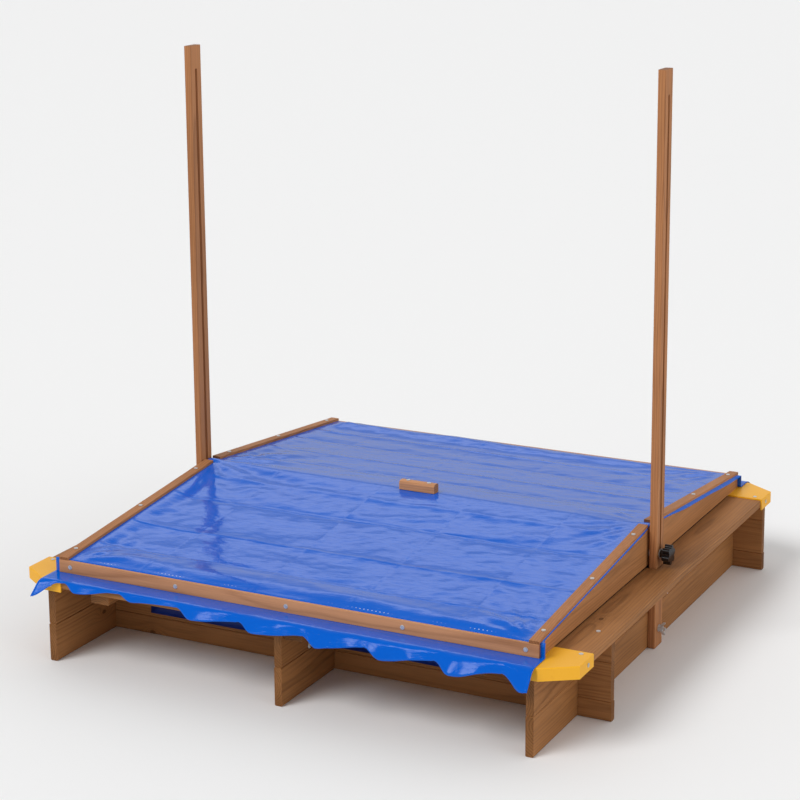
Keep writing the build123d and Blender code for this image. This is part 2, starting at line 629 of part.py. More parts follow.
knob_x = wall_x + post_t + 2.1
with BuildPart() as right_knob:
    rod_x(knob_x, knob_x + 10.0, 0, pivot_z, 8.0)
    with BuildSketch(Plane.YZ.offset(knob_x + 8.0)) as star:
        with Locations((0, pivot_z)):
            Circle(knob_r - 5.5)
            with PolarLocations(knob_r - 6.0, 6, start_angle=15):
                Circle(6.0)
    extrude(star.sketch, amount=15.0)
    rod_x(knob_x - 1, knob_x + 20.5, 0, pivot_z, pivot_r + run_clear, Mode.SUBTRACT)
right_knob.part.label = "right_knob"
export_step(right_knob.part, "parts/right_knob.step")

with BuildPart() as left_knob:
    add(mirror(right_knob.part, about=Plane.YZ))
left_knob.part.label = "left_knob"
export_step(left_knob.part, "parts/left_knob.step")

# ==========================================================================
# Screws: a shank and a low head each
# ==========================================================================
with BuildPart() as bench_screws:
    for s in (-1, 1):
        rod_z(front_wall_top_z - 12, bench_top, s * bench_screw_x, front_mid_y, screw_r)
        rod_z(bench_top, bench_top + head_h, s * bench_screw_x, front_mid_y, head_r)
bench_screws.part.label = "bench_screws"
export_step(bench_screws.part, "parts/bench_screws.step")

with BuildPart() as cap_screws:
    for sx in (-1, 1):
        for sy in (-1, 1):
            rod_z(bench_top - 12, bench_top + cap_t, sx * cap_screw_x, sy * cap_screw_y, screw_r)
            rod_z(bench_top + cap_t, bench_top + cap_t + head_h, sx * cap_screw_x, sy * cap_screw_y, head_r)
            rod_x(sx * (half_x - 20), sx * (half_x + cap_t), sy * cap_side_y, cap_side_z, screw_r)
            rod_x(sx * (half_x + cap_t), sx * (half_x + cap_t + head_h), sy * cap_side_y, cap_side_z, head_r)
            rod_y(sy * (half_y - 20), sy * (half_y + cap_t), sx * cap_front_x, cap_side_z, screw_r)
            rod_y(sy * (half_y + cap_t), sy * (half_y + cap_t + head_h), sx * cap_front_x, cap_side_z, head_r)
cap_screws.part.label = "cap_screws"
export_step(cap_screws.part, "parts/cap_screws.step")

with BuildPart() as cleat_screws:
    for cx in (-cleat_x, board_t / 2 + cleat_w / 2 + 1, cleat_x):
        for cy in cleat_screw_ys:
            rod_z(wall_top - cleat_t, wall_top + 8, cx, cy, screw_r)
            rod_z(wall_top - cleat_t - head_h, wall_top - cleat_t, cx, cy, head_r)
cleat_screws.part.label = "cleat_screws"
export_step(cleat_screws.part, "parts/cleat_screws.step")

with BuildPart() as stub_bolt:
    rod_x(-board_t / 2 - 6.0, board_t / 2, stub_bolt_y, stub_bolt_z, bolt_r)
    with Locations(Location((board_t / 2 + 1.5, stub_bolt_y, stub_bolt_z), (0, 90, 0))):
        Cone(bottom_radius=6.5, top_radius=4.0, height=3.0)
stub_bolt.part.label = "stub_bolt"
export_step(stub_bolt.part, "parts/stub_bolt.step")

with BuildPart() as stub_nut:
    with BuildSketch(Plane.YZ.offset(-board_t / 2 - 5.0)) as hexagon:
        with Locations((stub_bolt_y, stub_bolt_z)):
            RegularPolygon(radius=5.8, side_count=6)
    extrude(hexagon.sketch, amount=5.0)
    rod_x(-board_t / 2 - 7.0, -board_t / 2 + 1.0, stub_bolt_y, stub_bolt_z, bolt_r, Mode.SUBTRACT)
stub_nut.part.label = "stub_nut"
export_step(stub_nut.part, "parts/stub_nut.step")

with BuildPart() as batten_screws:
    for s in (-1, 1):
        for cx in batten_screw_xs:
            rod_y(s * (batten_y0 - sheet_t - 10), s * (batten_y0 + batten_t), cx, batten_z + batten_h / 2, screw_r)
            rod_y(s * (batten_y0 + batten_t), s * (batten_y0 + batten_t + head_h), cx, batten_z + batten_h / 2, head_r)
batten_screws.part.label = "batten_screws"
export_step(batten_screws.part, "parts/batten_screws.step")

with BuildPart() as strip_screws:
    for sx in (-1, 1):
        for sy in (-1, 1):
            for cy in strip_screw_ys:
                top = strip_base(cy) + strip_t + slope * head_r + 0.02
                rod_z(strip_base(cy) - 12, top, sx * (strip_out - strip_w / 2), sy * cy, screw_r)
                rod_z(top, top + head_h, sx * (strip_out - strip_w / 2), sy * cy, head_r)
strip_screws.part.label = "strip_screws"
export_step(strip_screws.part, "parts/strip_screws.step")

with BuildPart() as handle_screws:
    for cx in (-handle_screw, handle_screw):
        top = ridge_z + sheet_t + handle_h
        rod_z(ridge_z - 12, top, cx, 0, screw_r)
        rod_z(top, top + head_h, cx, 0, head_r)
handle_screws.part.label = "handle_screws"
export_step(handle_screws.part, "parts/handle_screws.step")

with BuildPart() as frame_screws:
    for s in (-1, 1):
        for e in (-1, 1):
            rod_y(e * (gable_half - 20), e * (rail_out - 3), s * (gable_x - board_t / 2), (roof_z + rail_top) / 2, screw_r)
            rod_y(e * (rail_out - 3), e * (rail_out - 0.5), s * (gable_x - board_t / 2), (roof_z + rail_top) / 2, head_r)
frame_screws.part.label = "frame_screws"
export_step(frame_screws.part, "parts/frame_screws.step")
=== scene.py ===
# %% [markdown]
# # A sandbox with a tent cover
#
# The object is a low square box of stained pine planks with benches round its
# top, yellow plastic caps on its corners, and a blue tarpaulin stretched on a
# shallow tent frame that can slide up two slotted posts. The boards, caps,
# posts, bolts and knobs come ready made as solids. This lesson gives them
# their finishes, and builds what a solid can't show: the creased tarpaulin,
# the ground sheet in the pit and the cross slots of the screws.

import math

import bmesh
import bpy
import numpy as np
from mathutils import Euler, Matrix, Vector


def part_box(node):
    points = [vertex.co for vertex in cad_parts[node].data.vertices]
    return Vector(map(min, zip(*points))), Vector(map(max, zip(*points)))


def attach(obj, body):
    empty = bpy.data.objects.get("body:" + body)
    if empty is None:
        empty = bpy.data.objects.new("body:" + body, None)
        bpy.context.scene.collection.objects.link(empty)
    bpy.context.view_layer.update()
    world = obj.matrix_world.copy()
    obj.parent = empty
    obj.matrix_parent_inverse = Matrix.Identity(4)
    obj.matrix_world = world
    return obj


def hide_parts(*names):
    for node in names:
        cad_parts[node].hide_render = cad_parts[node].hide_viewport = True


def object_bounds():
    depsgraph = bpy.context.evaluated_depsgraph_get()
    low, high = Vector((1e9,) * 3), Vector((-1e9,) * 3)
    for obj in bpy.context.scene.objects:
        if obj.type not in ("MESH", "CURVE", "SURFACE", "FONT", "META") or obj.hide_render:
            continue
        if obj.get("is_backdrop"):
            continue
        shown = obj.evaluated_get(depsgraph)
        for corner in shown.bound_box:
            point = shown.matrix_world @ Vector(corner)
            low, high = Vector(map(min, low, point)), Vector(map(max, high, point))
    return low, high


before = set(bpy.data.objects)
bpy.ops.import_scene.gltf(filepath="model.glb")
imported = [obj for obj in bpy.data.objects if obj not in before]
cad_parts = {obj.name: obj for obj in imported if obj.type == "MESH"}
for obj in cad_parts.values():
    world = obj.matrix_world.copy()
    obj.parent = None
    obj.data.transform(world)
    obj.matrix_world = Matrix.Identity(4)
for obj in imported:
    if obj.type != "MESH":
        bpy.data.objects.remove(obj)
solid_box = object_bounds()
print("solids:", len(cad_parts), "box:", [round(v, 3) for p in solid_box for v in p])

# %% [markdown]
# ## Sizes that the soft pieces share
#
# The tarpaulin has to follow its frame exactly, so its path is measured from
# the wooden pieces themselves and not typed in a second time. A node's box
# gives its lowest and highest corner, which is enough for square timber.

# %% Measure the tent frame and the box
gable_low, gable_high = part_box("right_gable")
rail_low, rail_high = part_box("front_rail")
batten_low, batten_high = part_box("front_batten")
front_low, front_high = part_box("front_wall_middle")
back_wall_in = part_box("back_wall_middle")[0].y
side_wall_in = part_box("right_wall_lower")[0].x
front_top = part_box("front_wall_top")[1].z
bench_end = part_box("right_bench")[1].y

half_gable = gable_high.x                    # outer face of a gable
ridge = gable_high.z                         # top of the gables
eaves_y = -rail_low.y                        # outer face of a rail
eaves_z = rail_high.z
fall = (ridge - eaves_z) / eaves_y           # how far the roof drops per metre
clamp_y = (eaves_y - batten_high.y) / 2      # middle of the gap between rail and batten
lip_y = bench_end + 0.0042                   # where the hem turns down
lie_z = gable_low.z + 0.0006                 # the hem lies on the benches at this height
print("roof falls", round(fall, 4), "m per m; clamp plane at", round(clamp_y, 4))

# %% [markdown]
# ## Helpers for surfaces
#
# Each sheet is a grid: two parameters in, a point out. With the points in one
# array, the faces are index arithmetic, and the same two parameters, kept in
# metres, become the UV map, so a woven pattern keeps its size on the cloth.


# %% Grid to mesh
def placed(name, mesh):
    """Shades a mesh smooth and puts it in the scene."""
    mesh.polygons.foreach_set("use_smooth", np.ones(len(mesh.polygons), bool))
    piece = bpy.data.objects.new(name, mesh)
    bpy.context.scene.collection.objects.link(piece)
    print(name, len(mesh.vertices), "vertices")
    return piece


def surface(name, points, uv, keep=None, close=0.0):
    """A mesh from a grid of points.

    Vertex (i, j) has the number i * columns + j, and face (i, j) joins the
    four vertices around it. keep is a mask of the faces to make; with it,
    vertices nearer than close are merged."""
    rows, cols = points.shape[:2]
    number = np.arange(rows * cols).reshape(rows, cols)
    quads = np.stack([number[:-1, :-1], number[:-1, 1:], number[1:, 1:], number[1:, :-1]], -1)
    quads = quads.reshape(-1, 4) if keep is None else quads[keep]
    mesh = bpy.data.meshes.new(name)
    mesh.from_pydata(points.reshape(-1, 3).tolist(), [], quads.tolist())
    layer = mesh.uv_layers.new(name="cloth")
    corner = np.zeros(len(mesh.loops), np.int32)
    mesh.loops.foreach_get("vertex_index", corner)
    layer.data.foreach_set("uv", uv.reshape(-1, 2)[corner].astype(np.float32).ravel())
    if keep is not None:
        work = bmesh.new()
        work.from_mesh(mesh)
        unused = [v for v in work.verts if not v.link_faces]
        bmesh.ops.delete(work, geom=unused, context="VERTS")
        bmesh.ops.remove_doubles(work, verts=work.verts, dist=close)
        work.to_mesh(mesh)
        work.free()
    return placed(name, mesh)


def film_thickness(piece, thick=0.0004):
    """Gives a sheet its thickness, half to each side."""
    film = piece.modifiers.new("film", "SOLIDIFY")
    film.thickness, film.offset = thick, 0.0


def ease(x):
    """0 below 0, 1 above 1, and the smooth curve 3x^2 - 2x^3 between."""
    x = np.clip(x, 0, 1)
    return x * x * (3 - 2 * x)


def bell(x, middle, width):
    """The bell curve exp(-((x - middle) / width)^2)."""
    return np.exp(-(((x - middle) / width) ** 2))


def crumple(u, v, cell, seed):
    """Smooth random bumps about cell metres wide, between about -1 and 1.

    Each corner of a square lattice has a random direction. A point's value is
    the dot product of its offset from each of the four corners with that
    corner's direction, blended with the curve 6t^5 - 15t^4 + 10t^3."""
    angle = np.random.default_rng(seed).uniform(0, 2 * np.pi, (97, 97))
    x, y = u / cell + 311.7, v / cell + 173.3
    i, j = np.floor(x).astype(int), np.floor(y).astype(int)
    a, b = x - i, y - j
    fade = lambda t: t * t * t * (t * (t * 6 - 15) + 10)

    def corner(di, dj):
        theta = angle[(i + di) % 97, (j + dj) % 97]
        return (a - di) * np.cos(theta) + (b - dj) * np.sin(theta)

    low = corner(0, 0) + fade(a) * (corner(1, 0) - corner(0, 0))
    high = corner(0, 1) + fade(a) * (corner(1, 1) - corner(0, 1))
    return 1.4 * (low + fade(b) * (high - low))


def wave(x, row, cell, seed):
    """The same bumps along one line: crumple at a fixed second place."""
    return crumple(x, 0 * x + row, cell, seed)


# %% [markdown]
# ## Helpers for materials
#
# A material is a graph. Typing a graph in Blender's API takes many lines per
# node, so small functions make a node and wire its inputs in one call.


# %% Node helpers
def fill(tree, socket, value):
    """Links a socket to another socket, or sets it to a plain value."""
    if isinstance(value, bpy.types.NodeSocket):
        tree.links.new(value, socket)
    else:
        socket.default_value = value


def node(tree, kind, wires=None, **settings):
    """Makes a node, sets its properties, and fills each input in wires."""
    made = tree.nodes.new(kind)
    for key, value in settings.items():
        setattr(made, key, value)
    for key, value in (wires or {}).items():
        fill(tree, made.inputs[key], value)
    return made


def maths(tree, operation, a, b=0.0, c=0.0):
    """One Math node's result."""
    return node(tree, "ShaderNodeMath", {0: a, 1: b, 2: c}, operation=operation).outputs[0]


def total(tree, *terms):
    """The sum of several values."""
    result = terms[0]
    for term in terms[1:]:
        result = maths(tree, "ADD", result, term)
    return result


def times(tree, a, b):
    """The product of two values."""
    return maths(tree, "MULTIPLY", a, b)


def vector_maths(tree, operation, a, b):
    """One Vector Math node's vector."""
    return node(tree, "ShaderNodeVectorMath", {0: a, 1: b}, operation=operation).outputs[0]


def length(tree, vector):
    """A vector's length."""
    return node(tree, "ShaderNodeVectorMath", {0: vector}, operation="LENGTH").outputs["Value"]


def separate(tree, vector):
    """A vector's three numbers."""
    return node(tree, "ShaderNodeSeparateXYZ", {0: vector}).outputs


def combine(tree, *numbers):
    """A vector of up to three numbers."""
    return node(tree, "ShaderNodeCombineXYZ", dict(enumerate(numbers))).outputs[0]


def noise(tree, vector, scale, detail=2.0, rough=0.5):
    """A noise value centred on 0.5."""
    wires = {"Vector": vector, "Scale": scale, "Detail": detail, "Roughness": rough}
    return node(tree, "ShaderNodeTexNoise", wires).outputs["Fac"]


def stretch(tree, vector, by):
    """The vector times by."""
    return node(tree, "ShaderNodeMapping", {"Vector": vector, "Scale": by}).outputs[0]


def ramp(tree, value, *stops):
    """A value through a colour ramp of grey stops, each (place, grey)."""
    made = node(tree, "ShaderNodeValToRGB", {"Fac": value})
    points = made.color_ramp.elements
    for place, _ in stops[2:]:
        points.new(place)
    points[0].position, points[1].position = stops[0][0], stops[1][0]
    for point, (place, grey) in zip(sorted(points, key=lambda p: p.position), sorted(stops)):
        point.position = place
        point.color = (grey, grey, grey, 1)
    return made.outputs["Color"]


def between(tree, value, start, end, low, high, how="SMOOTHSTEP"):
    """low before start, high after end, and a smooth or straight change between."""
    wires = {"Value": value, "From Min": start, "From Max": end, "To Min": low, "To Max": high}
    return node(tree, "ShaderNodeMapRange", wires, interpolation_type=how).outputs[0]


def blend_colours(tree, share, a, b, how="MIX"):
    """Mixes colours a and b by share. A Mix node has sockets for every kind of value, so they go by identifier."""
    made = node(tree, "ShaderNodeMix", data_type="RGBA", blend_type=how)
    sockets = {socket.identifier: socket for socket in made.inputs}
    for key, value in (("Factor_Float", share), ("A_Color", a), ("B_Color", b)):
        fill(tree, sockets[key], value)
    return next(s for s in made.outputs if s.identifier == "Result_Color")


def group(name, inputs):
    """A node group with inputs (name, kind, default) that puts out a colour, a roughness and a height."""
    made = bpy.data.node_groups.new(name, "ShaderNodeTree")
    for title, kind, value in inputs:
        socket = made.interface.new_socket(title, in_out="INPUT", socket_type="NodeSocket" + kind)
        if value is not None:
            socket.default_value = value
    for title, kind in (("Color", "Color"), ("Roughness", "Float"), ("Height", "Float")):
        made.interface.new_socket(title, in_out="OUTPUT", socket_type="NodeSocket" + kind)
    return made, made.nodes.new("NodeGroupInput").outputs, made.nodes.new("NodeGroupOutput").inputs


def material(name, **shader):
    """A material with a Principled shader set from plain values; returns it, its tree and the shader."""
    made = bpy.data.materials.new(name)
    made.use_nodes = True
    principled = made.node_tree.nodes["Principled BSDF"]
    for key, value in shader.items():
        principled.inputs[key.replace("_", " ")].default_value = value
    return made, made.node_tree, principled


def use(tree, made_group, wires):
    """Places a node group in a material and fills its inputs."""
    return node(tree, "ShaderNodeGroup", wires, node_tree=made_group).outputs


def feed(tree, shader, colour, roughness, height, strength, distance):
    """Feeds the shader: the height is a bump of strength, distance metres high."""
    tree.links.new(colour, shader.inputs["Base Color"])
    tree.links.new(roughness, shader.inputs["Roughness"])
    bump = node(tree, "ShaderNodeBump", {"Height": height, "Strength": strength, "Distance": distance})
    tree.links.new(bump.outputs[0], shader.inputs["Normal"])


def dress(name, *mats):
    """Gives a node its materials."""
    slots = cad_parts[name].data.materials
    slots.clear()
    for m in mats:
        slots.append(m)


# %% [markdown]
# ## Stained pine
#
# A pine board is cut out of a trunk, and its lines are where the trunk's
# yearly rings meet the saw. A picture of lines would look pasted on. Here the
# rings themselves are worked out in three dimensions: the distance from a
# wandering centre line, in steps of one ring. Each face of a board then cuts
# the same rings, so the arches on a face, the stripes on an edge and the arcs
# on an end all belong together. A knot pushes the rings round itself. A brown
# stain soaks deeper into end grain, so the ends are darker.

# %% The pine group
pine, pine_in, pine_out = group("Stained pine", [
    ("Place", "Vector", None), ("Facing", "Vector", None), ("Seed", "Float", 0.0), ("Ring", "Float", 0.005),
    ("Centre", "Vector", (0, 0, -0.05)), ("Knot", "Vector", (9, 9, 9)), ("Knot size", "Float", 0.008),
    ("Pale", "Color", (0.4, 0.2, 0.1, 1)), ("Deep", "Color", (0.15, 0.06, 0.03, 1)),
])
shift = combine(pine, *(times(pine, pine_in["Seed"], k) for k in (7.31, 3.17, 1.73)))
own = vector_maths(pine, "ADD", pine_in["Place"], shift)

# how far the centre of the trunk is, with a wander along the board
bend = {"Vector": stretch(pine, own, (1.7, 6, 6)), "Scale": 1.0, "Detail": 2.0}
wander = node(pine, "ShaderNodeTexNoise", bend).outputs["Color"]
wander = vector_maths(pine, "SUBTRACT", wander, (0.5, 0.5, 0.5))
wander = vector_maths(pine, "MULTIPLY", wander, (0, 0.034, 0.034))
cross = vector_maths(pine, "SUBTRACT", pine_in["Place"], pine_in["Centre"])
cross = vector_maths(pine, "ADD", cross, wander)
from_pith = length(pine, vector_maths(pine, "MULTIPLY", cross, (0, 1, 1)))

# the knot, in knot sizes, and how it pulls the rings: 1 / (1 + distance^2)
to_knot = vector_maths(pine, "SUBTRACT", pine_in["Place"], pine_in["Knot"])
to_knot = vector_maths(pine, "MULTIPLY", to_knot, (0.62, 1, 0.05))
knot_far = maths(pine, "DIVIDE", length(pine, to_knot), pine_in["Knot size"])
knot_pull = maths(pine, "DIVIDE", 1.0, maths(pine, "ADD", 1.0, maths(pine, "POWER", knot_far, 2.0)))
knot_in = ramp(pine, knot_far, (0.42, 1.0), (0.62, 0.0))

# ring number; late wood is the dark end of each ring, darker in some years
rings = maths(pine, "DIVIDE", total(pine, from_pith, times(pine, knot_pull, 0.022)), pine_in["Ring"])
rings = total(pine, rings, times(pine, noise(pine, stretch(pine, own, (3, 60, 60)), 1.0, 3.0), 0.5))
late = ramp(pine, maths(pine, "FRACT", rings), (0.0, 0.35), (0.18, 0.0), (0.55, 0.12), (0.86, 1.0), (1.0, 0.35))
year = noise(pine, combine(pine, maths(pine, "FLOOR", rings), pine_in["Seed"]), 0.77, 0.0)
late = times(pine, late, maths(pine, "MULTIPLY_ADD", year, 1.3, 0.15))

fibre = noise(pine, stretch(pine, own, (9, 620, 620)), 1.0, 3.0, 0.6)
pore = ramp(pine, noise(pine, stretch(pine, own, (26, 1400, 1400)), 1.0, 1.0), (0.6, 0.0), (0.75, 1.0))
soak = noise(pine, stretch(pine, own, (2.2, 11, 11)), 1.0, 3.0, 0.6)
end = ramp(pine, maths(pine, "ABSOLUTE", separate(pine, pine_in["Facing"])[0]), (0.6, 0.0), (0.9, 1.0))
depth = total(
    pine,
    times(pine, late, 0.46),
    times(pine, maths(pine, "SUBTRACT", fibre, 0.5), 0.85),
    times(pine, maths(pine, "SUBTRACT", soak, 0.5), 1.1),
    times(pine, pore, 0.12),
    times(pine, end, 0.5),
    times(pine, knot_in, 0.75),
    0.12,
)
depth = node(pine, "ShaderNodeClamp", {"Value": depth}).outputs[0]
pine.links.new(blend_colours(pine, depth, pine_in["Pale"], pine_in["Deep"]), pine_out["Color"])
pine.links.new(maths(pine, "MULTIPLY_ADD", late, -0.12, 0.58), pine_out["Roughness"])
pine.links.new(total(pine, times(pine, late, 0.5), times(pine, fibre, 0.7)), pine_out["Height"])
print("pine group:", len(pine.nodes), "nodes")

# %% [markdown]
# Every board gets its own seed, so no two have the same lines, and a turn
# that lays the rings along the board. The rails of the tent are given a
# little lighter tone than the planks.

# %% Give each board its pine
TURN = {"x": (0, 0, 0), "y": (0, 0, -math.pi / 2), "z": (0, math.pi / 2, 0)}
BOX_WOOD = ((0.400, 0.178, 0.062, 1), (0.135, 0.052, 0.014, 1))
POST_WOOD = ((0.480, 0.208, 0.084, 1), (0.190, 0.072, 0.025, 1))
TENT_WOOD = ((0.590, 0.285, 0.140, 1), (0.290, 0.122, 0.052, 1))
GABLE_WOOD = ((0.470, 0.210, 0.080, 1), (0.190, 0.078, 0.024, 1))
BOARDS = [
    ("y", BOX_WOOD, "right_wall_lower right_wall_upper left_wall_lower left_wall_upper"),
    ("x", BOX_WOOD, "front_wall_bottom front_wall_middle front_wall_top"),
    ("x", BOX_WOOD, "back_wall_bottom back_wall_middle back_wall_top"),
    ("y", BOX_WOOD, "stub_lower stub_upper right_bench left_bench"),
    ("x", BOX_WOOD, "front_bench_outer front_bench_inner back_bench"),
    ("y", BOX_WOOD, "cleat_left cleat_right cleat_middle"),
    ("z", POST_WOOD, "right_post left_post"),
    ("y", GABLE_WOOD, "right_gable left_gable"),
    ("x", TENT_WOOD, "front_rail back_rail ridge_beam front_batten back_batten"),
    ("y", POST_WOOD, "strip_front_right strip_front_left strip_back_right strip_back_left"),
    ("x", TENT_WOOD, "ridge_handle"),
]
KNOTS = {
    "right_bench": (0.548, -0.323, 0.172),
    "left_wall_lower": (-0.514, -0.433, 0.048),
    "front_wall_bottom": (-0.423, -0.392, 0.004),
}
NO_KNOT = Vector((9, 9, 9))
PITH_DEPTH = 0.026        # the rings' centre lies at least this far from the board's own middle


def along_board(point, way):
    """A point with the board's long direction moved to X: the Mapping node's turn, done in Python."""
    return Euler(TURN[way]).to_matrix() @ Vector(point)


def pine_board(name, way, tones, number):
    """A pine material for one board, with its rings centred beyond one of its broad faces."""
    made, tree, shader = material("pine_" + name, Specular_IOR_Level=0.22)
    coords = node(tree, "ShaderNodeTexCoord").outputs
    turned = lambda key: node(tree, "ShaderNodeMapping", {"Vector": coords[key], "Rotation": TURN[way]}).outputs[0]
    place, facing = turned("Object"), turned("Normal")
    low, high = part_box(name)
    middle, size = along_board((low + high) / 2, way), along_board(high - low, way)
    spread = np.random.default_rng(number).uniform(-1, 1, 3)
    beyond = math.copysign(PITH_DEPTH + 0.02 * abs(spread[0]), spread[2])
    aside = spread[1] * max(abs(size.y), abs(size.z)) * 0.3
    off = Vector((0, aside, beyond))
    knot = along_board(KNOTS[name], way) if name in KNOTS else NO_KNOT
    if abs(size.y) < abs(size.z):  # the group's board is thin along its third direction, so swap
        flip = separate(tree, place)
        place = combine(tree, flip[0], flip[2], flip[1])
        middle, knot = (Vector((v.x, v.z, v.y)) for v in (middle, knot))
    wires = {"Place": place, "Facing": facing, "Seed": 0.37 * number, "Ring": 0.0042 + 0.0012 * abs(spread[1]),
             "Centre": middle + off, "Knot": knot, "Pale": tones[0], "Deep": tones[1]}
    out = use(tree, pine, wires)
    feed(tree, shader, out["Color"], out["Roughness"], out["Height"], 0.35, 0.0006)
    return made


number = 0
for way, tones, names in BOARDS:
    for name in names.split():
        number += 1
        dress(name, pine_board(name, way, tones, number))
print("boards:", number)

# %% [markdown]
# ## Yellow caps
#
# The caps are moulded from coloured polyethylene. Such plastic is evenly
# coloured and softly shiny, with a fine grain from the mould, a few long
# flow marks, and dust that settles in patches. Only small changes in
# roughness and height show, so the colour itself stays calm.

# %% Moulded plastic
moulded, mould_in, mould_out = group("Moulded plastic", [
    ("Place", "Vector", None), ("Tone", "Color", (1, 1, 1, 1)), ("Gloss", "Float", 0.4),
])
cloud = noise(moulded, mould_in["Place"], 22.0, 3.0)
grain = noise(moulded, mould_in["Place"], 900.0, 2.0)
scuff = noise(moulded, stretch(moulded, mould_in["Place"], (60, 9, 30)), 1.0, 4.0, 0.7)
scuff = ramp(moulded, scuff, (0.6, 0.0), (0.72, 1.0))
darker = blend_colours(moulded, 1.0, mould_in["Tone"], (0.86, 0.80, 0.74, 1), "MULTIPLY")
dirt = times(moulded, total(moulded, cloud, scuff), 0.28)
moulded.links.new(blend_colours(moulded, dirt, mould_in["Tone"], darker), mould_out["Color"])
dull = maths(moulded, "MULTIPLY_ADD", scuff, 0.14, times(moulded, cloud, 0.1))
moulded.links.new(total(moulded, mould_in["Gloss"], dull), mould_out["Roughness"])
moulded.links.new(total(moulded, grain, times(moulded, cloud, 0.5)), mould_out["Height"])


def plastic(name, tone, gloss, bump_height):
    """A moulded plastic of one tone; gloss is the roughness of its clean parts."""
    made, tree, shader = material(name, Specular_IOR_Level=0.5)
    place = node(tree, "ShaderNodeTexCoord").outputs["Object"]
    out = use(tree, moulded, {"Place": place, "Tone": tone, "Gloss": gloss})
    feed(tree, shader, out["Color"], out["Roughness"], out["Height"], 0.3, bump_height)
    return made


yellow = plastic("yellow_cap_plastic", (0.92, 0.455, 0.016, 1), 0.34, 0.0004)
for corner_name in ("front_right", "front_left", "back_right", "back_left"):
    dress("cap_" + corner_name, yellow)
black = plastic("black_knob_plastic", (0.006, 0.006, 0.007, 1), 0.10, 0.0001)
for name in ("right_knob", "left_knob"):
    dress(name, black)

# %% [markdown]
# ## Zinc-plated steel
#
# Zinc plate is a pale metal with large soft spangles, and a little duller than
# bare steel. Its roughness changes from one spot to the next, which breaks up
# the highlights on the small bolts.

# %% Zinc
zinc, tree, shader = material("zinc_plate", Metallic=0.55)
place = node(tree, "ShaderNodeTexCoord").outputs["Object"]
spangle = node(tree, "ShaderNodeTexVoronoi", {"Vector": place, "Scale": 420.0}).outputs["Color"]
spangle = separate(tree, spangle)[0]
plate = blend_colours(tree, spangle, (0.78, 0.79, 0.80, 1), (0.60, 0.62, 0.64, 1))
tree.links.new(plate, shader.inputs["Base Color"])
tree.links.new(maths(tree, "MULTIPLY_ADD", noise(tree, place, 300.0), 0.25, 0.22), shader.inputs["Roughness"])
STEEL = (
    "post_bolts post_washers clamp_bolts clamp_spacers clamp_washers stub_bolt stub_nut "
    "wing_nut_right_lower wing_nut_right_upper wing_nut_left_lower wing_nut_left_upper "
    "bench_screws cap_screws cleat_screws batten_screws strip_screws handle_screws frame_screws"
)
for name in STEEL.split():
    dress(name, zinc)

# %% [markdown]
# ## Screw heads
#
# The solids are plain low discs. Real screws here are small countersunk or
# pan heads with a cross recess, and at this size the recess is what the eye
# reads as "screw". One head is a polar grid: a shallow dome whose height
# drops inside a cross. The same grid is then carried to every screw with one
# matrix product.

# %% One head, many places
HEAD_RINGS = np.array([0.0, 0.07, 0.13, 0.19, 0.3, 0.45, 0.6, 0.68, 0.8, 0.92, 0.985, 1.0, 1.0])
HEAD_SPOKES = 48


def screw_heads(name, body, places, radius, rise):
    """Pan heads at places, each (point on the surface, outward direction, turn in radians).

    The height is rise * sqrt(1 - 0.96 (r/R)^2), and the last ring goes down
    into the wood. The cross recess takes 0.7 of the height away where the
    distance from one middle line is under about 0.15 R and from the other
    under about 0.6 R."""
    theta = np.linspace(0, 2 * np.pi, HEAD_SPOKES + 1)[:-1]
    r, t = np.meshgrid(HEAD_RINGS, theta, indexing="ij")
    x, y = r * np.cos(t), r * np.sin(t)
    z = np.sqrt(np.clip(1 - r**2 * 0.96, 0, 1))
    arm = lambda a, b: ease((0.19 - np.abs(a)) / 0.07) * ease((0.66 - np.abs(b)) / 0.08)
    z = z - 0.7 * np.maximum(arm(x, y), arm(y, x)) * z
    z[-1] = -0.15
    head = np.stack([x * radius, y * radius, z * rise], -1).reshape(-1, 3)
    number = np.arange(r.size).reshape(r.shape)
    beside = np.roll(number, -1, 1)
    quads = np.stack([number[:-1], number[1:], beside[1:], beside[:-1]], -1).reshape(-1, 4)
    points, faces = [], []
    for k, (where, out, turn) in enumerate(places):
        basis = np.array(Vector(out).to_track_quat("Z", "Y").to_matrix() @ Matrix.Rotation(turn, 3, "Z"))
        points.append(head @ basis.T + np.array(where))
        faces.append(quads + k * r.size)
    mesh = bpy.data.meshes.new(name)
    mesh.from_pydata(np.concatenate(points).tolist(), [], np.concatenate(faces).tolist())
    work = bmesh.new()
    work.from_mesh(mesh)
    bmesh.ops.remove_doubles(work, verts=work.verts, dist=1e-7)
    bmesh.ops.dissolve_degenerate(work, edges=work.edges, dist=1e-8)
    work.to_mesh(mesh)
    work.free()
    mesh.materials.append(zinc)
    piece = placed(name, mesh)
    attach(piece, body)
    print(name, "screws:", len(places))


def clusters(name):
    """The separate solids of a node, as (lowest corner, highest corner).

    Each corner starts with its own label. Every triangle then gives its
    corners their lowest label, until nothing changes."""
    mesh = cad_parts[name].data
    co = np.zeros(len(mesh.vertices) * 3)
    mesh.vertices.foreach_get("co", co)
    co = co.reshape(-1, 3)
    _, same = np.unique(np.round(co, 6), axis=0, return_inverse=True)
    same = same.ravel()
    tri = np.zeros(len(mesh.loops), int)
    mesh.loops.foreach_get("vertex_index", tri)
    tri = same[tri.reshape(-1, 3)]
    label = np.arange(same.max() + 1)
    while True:
        low = label[tri].min(1)
        new = label.copy()
        for k in range(3):
            np.minimum.at(new, tri[:, k], low)
        new = new[new]
        if (new == label).all():
            break
        label = new
    points = np.zeros((same.max() + 1, 3))
    points[same] = co
    return [(points[label == g].min(0), points[label == g].max(0)) for g in np.unique(label[tri])]


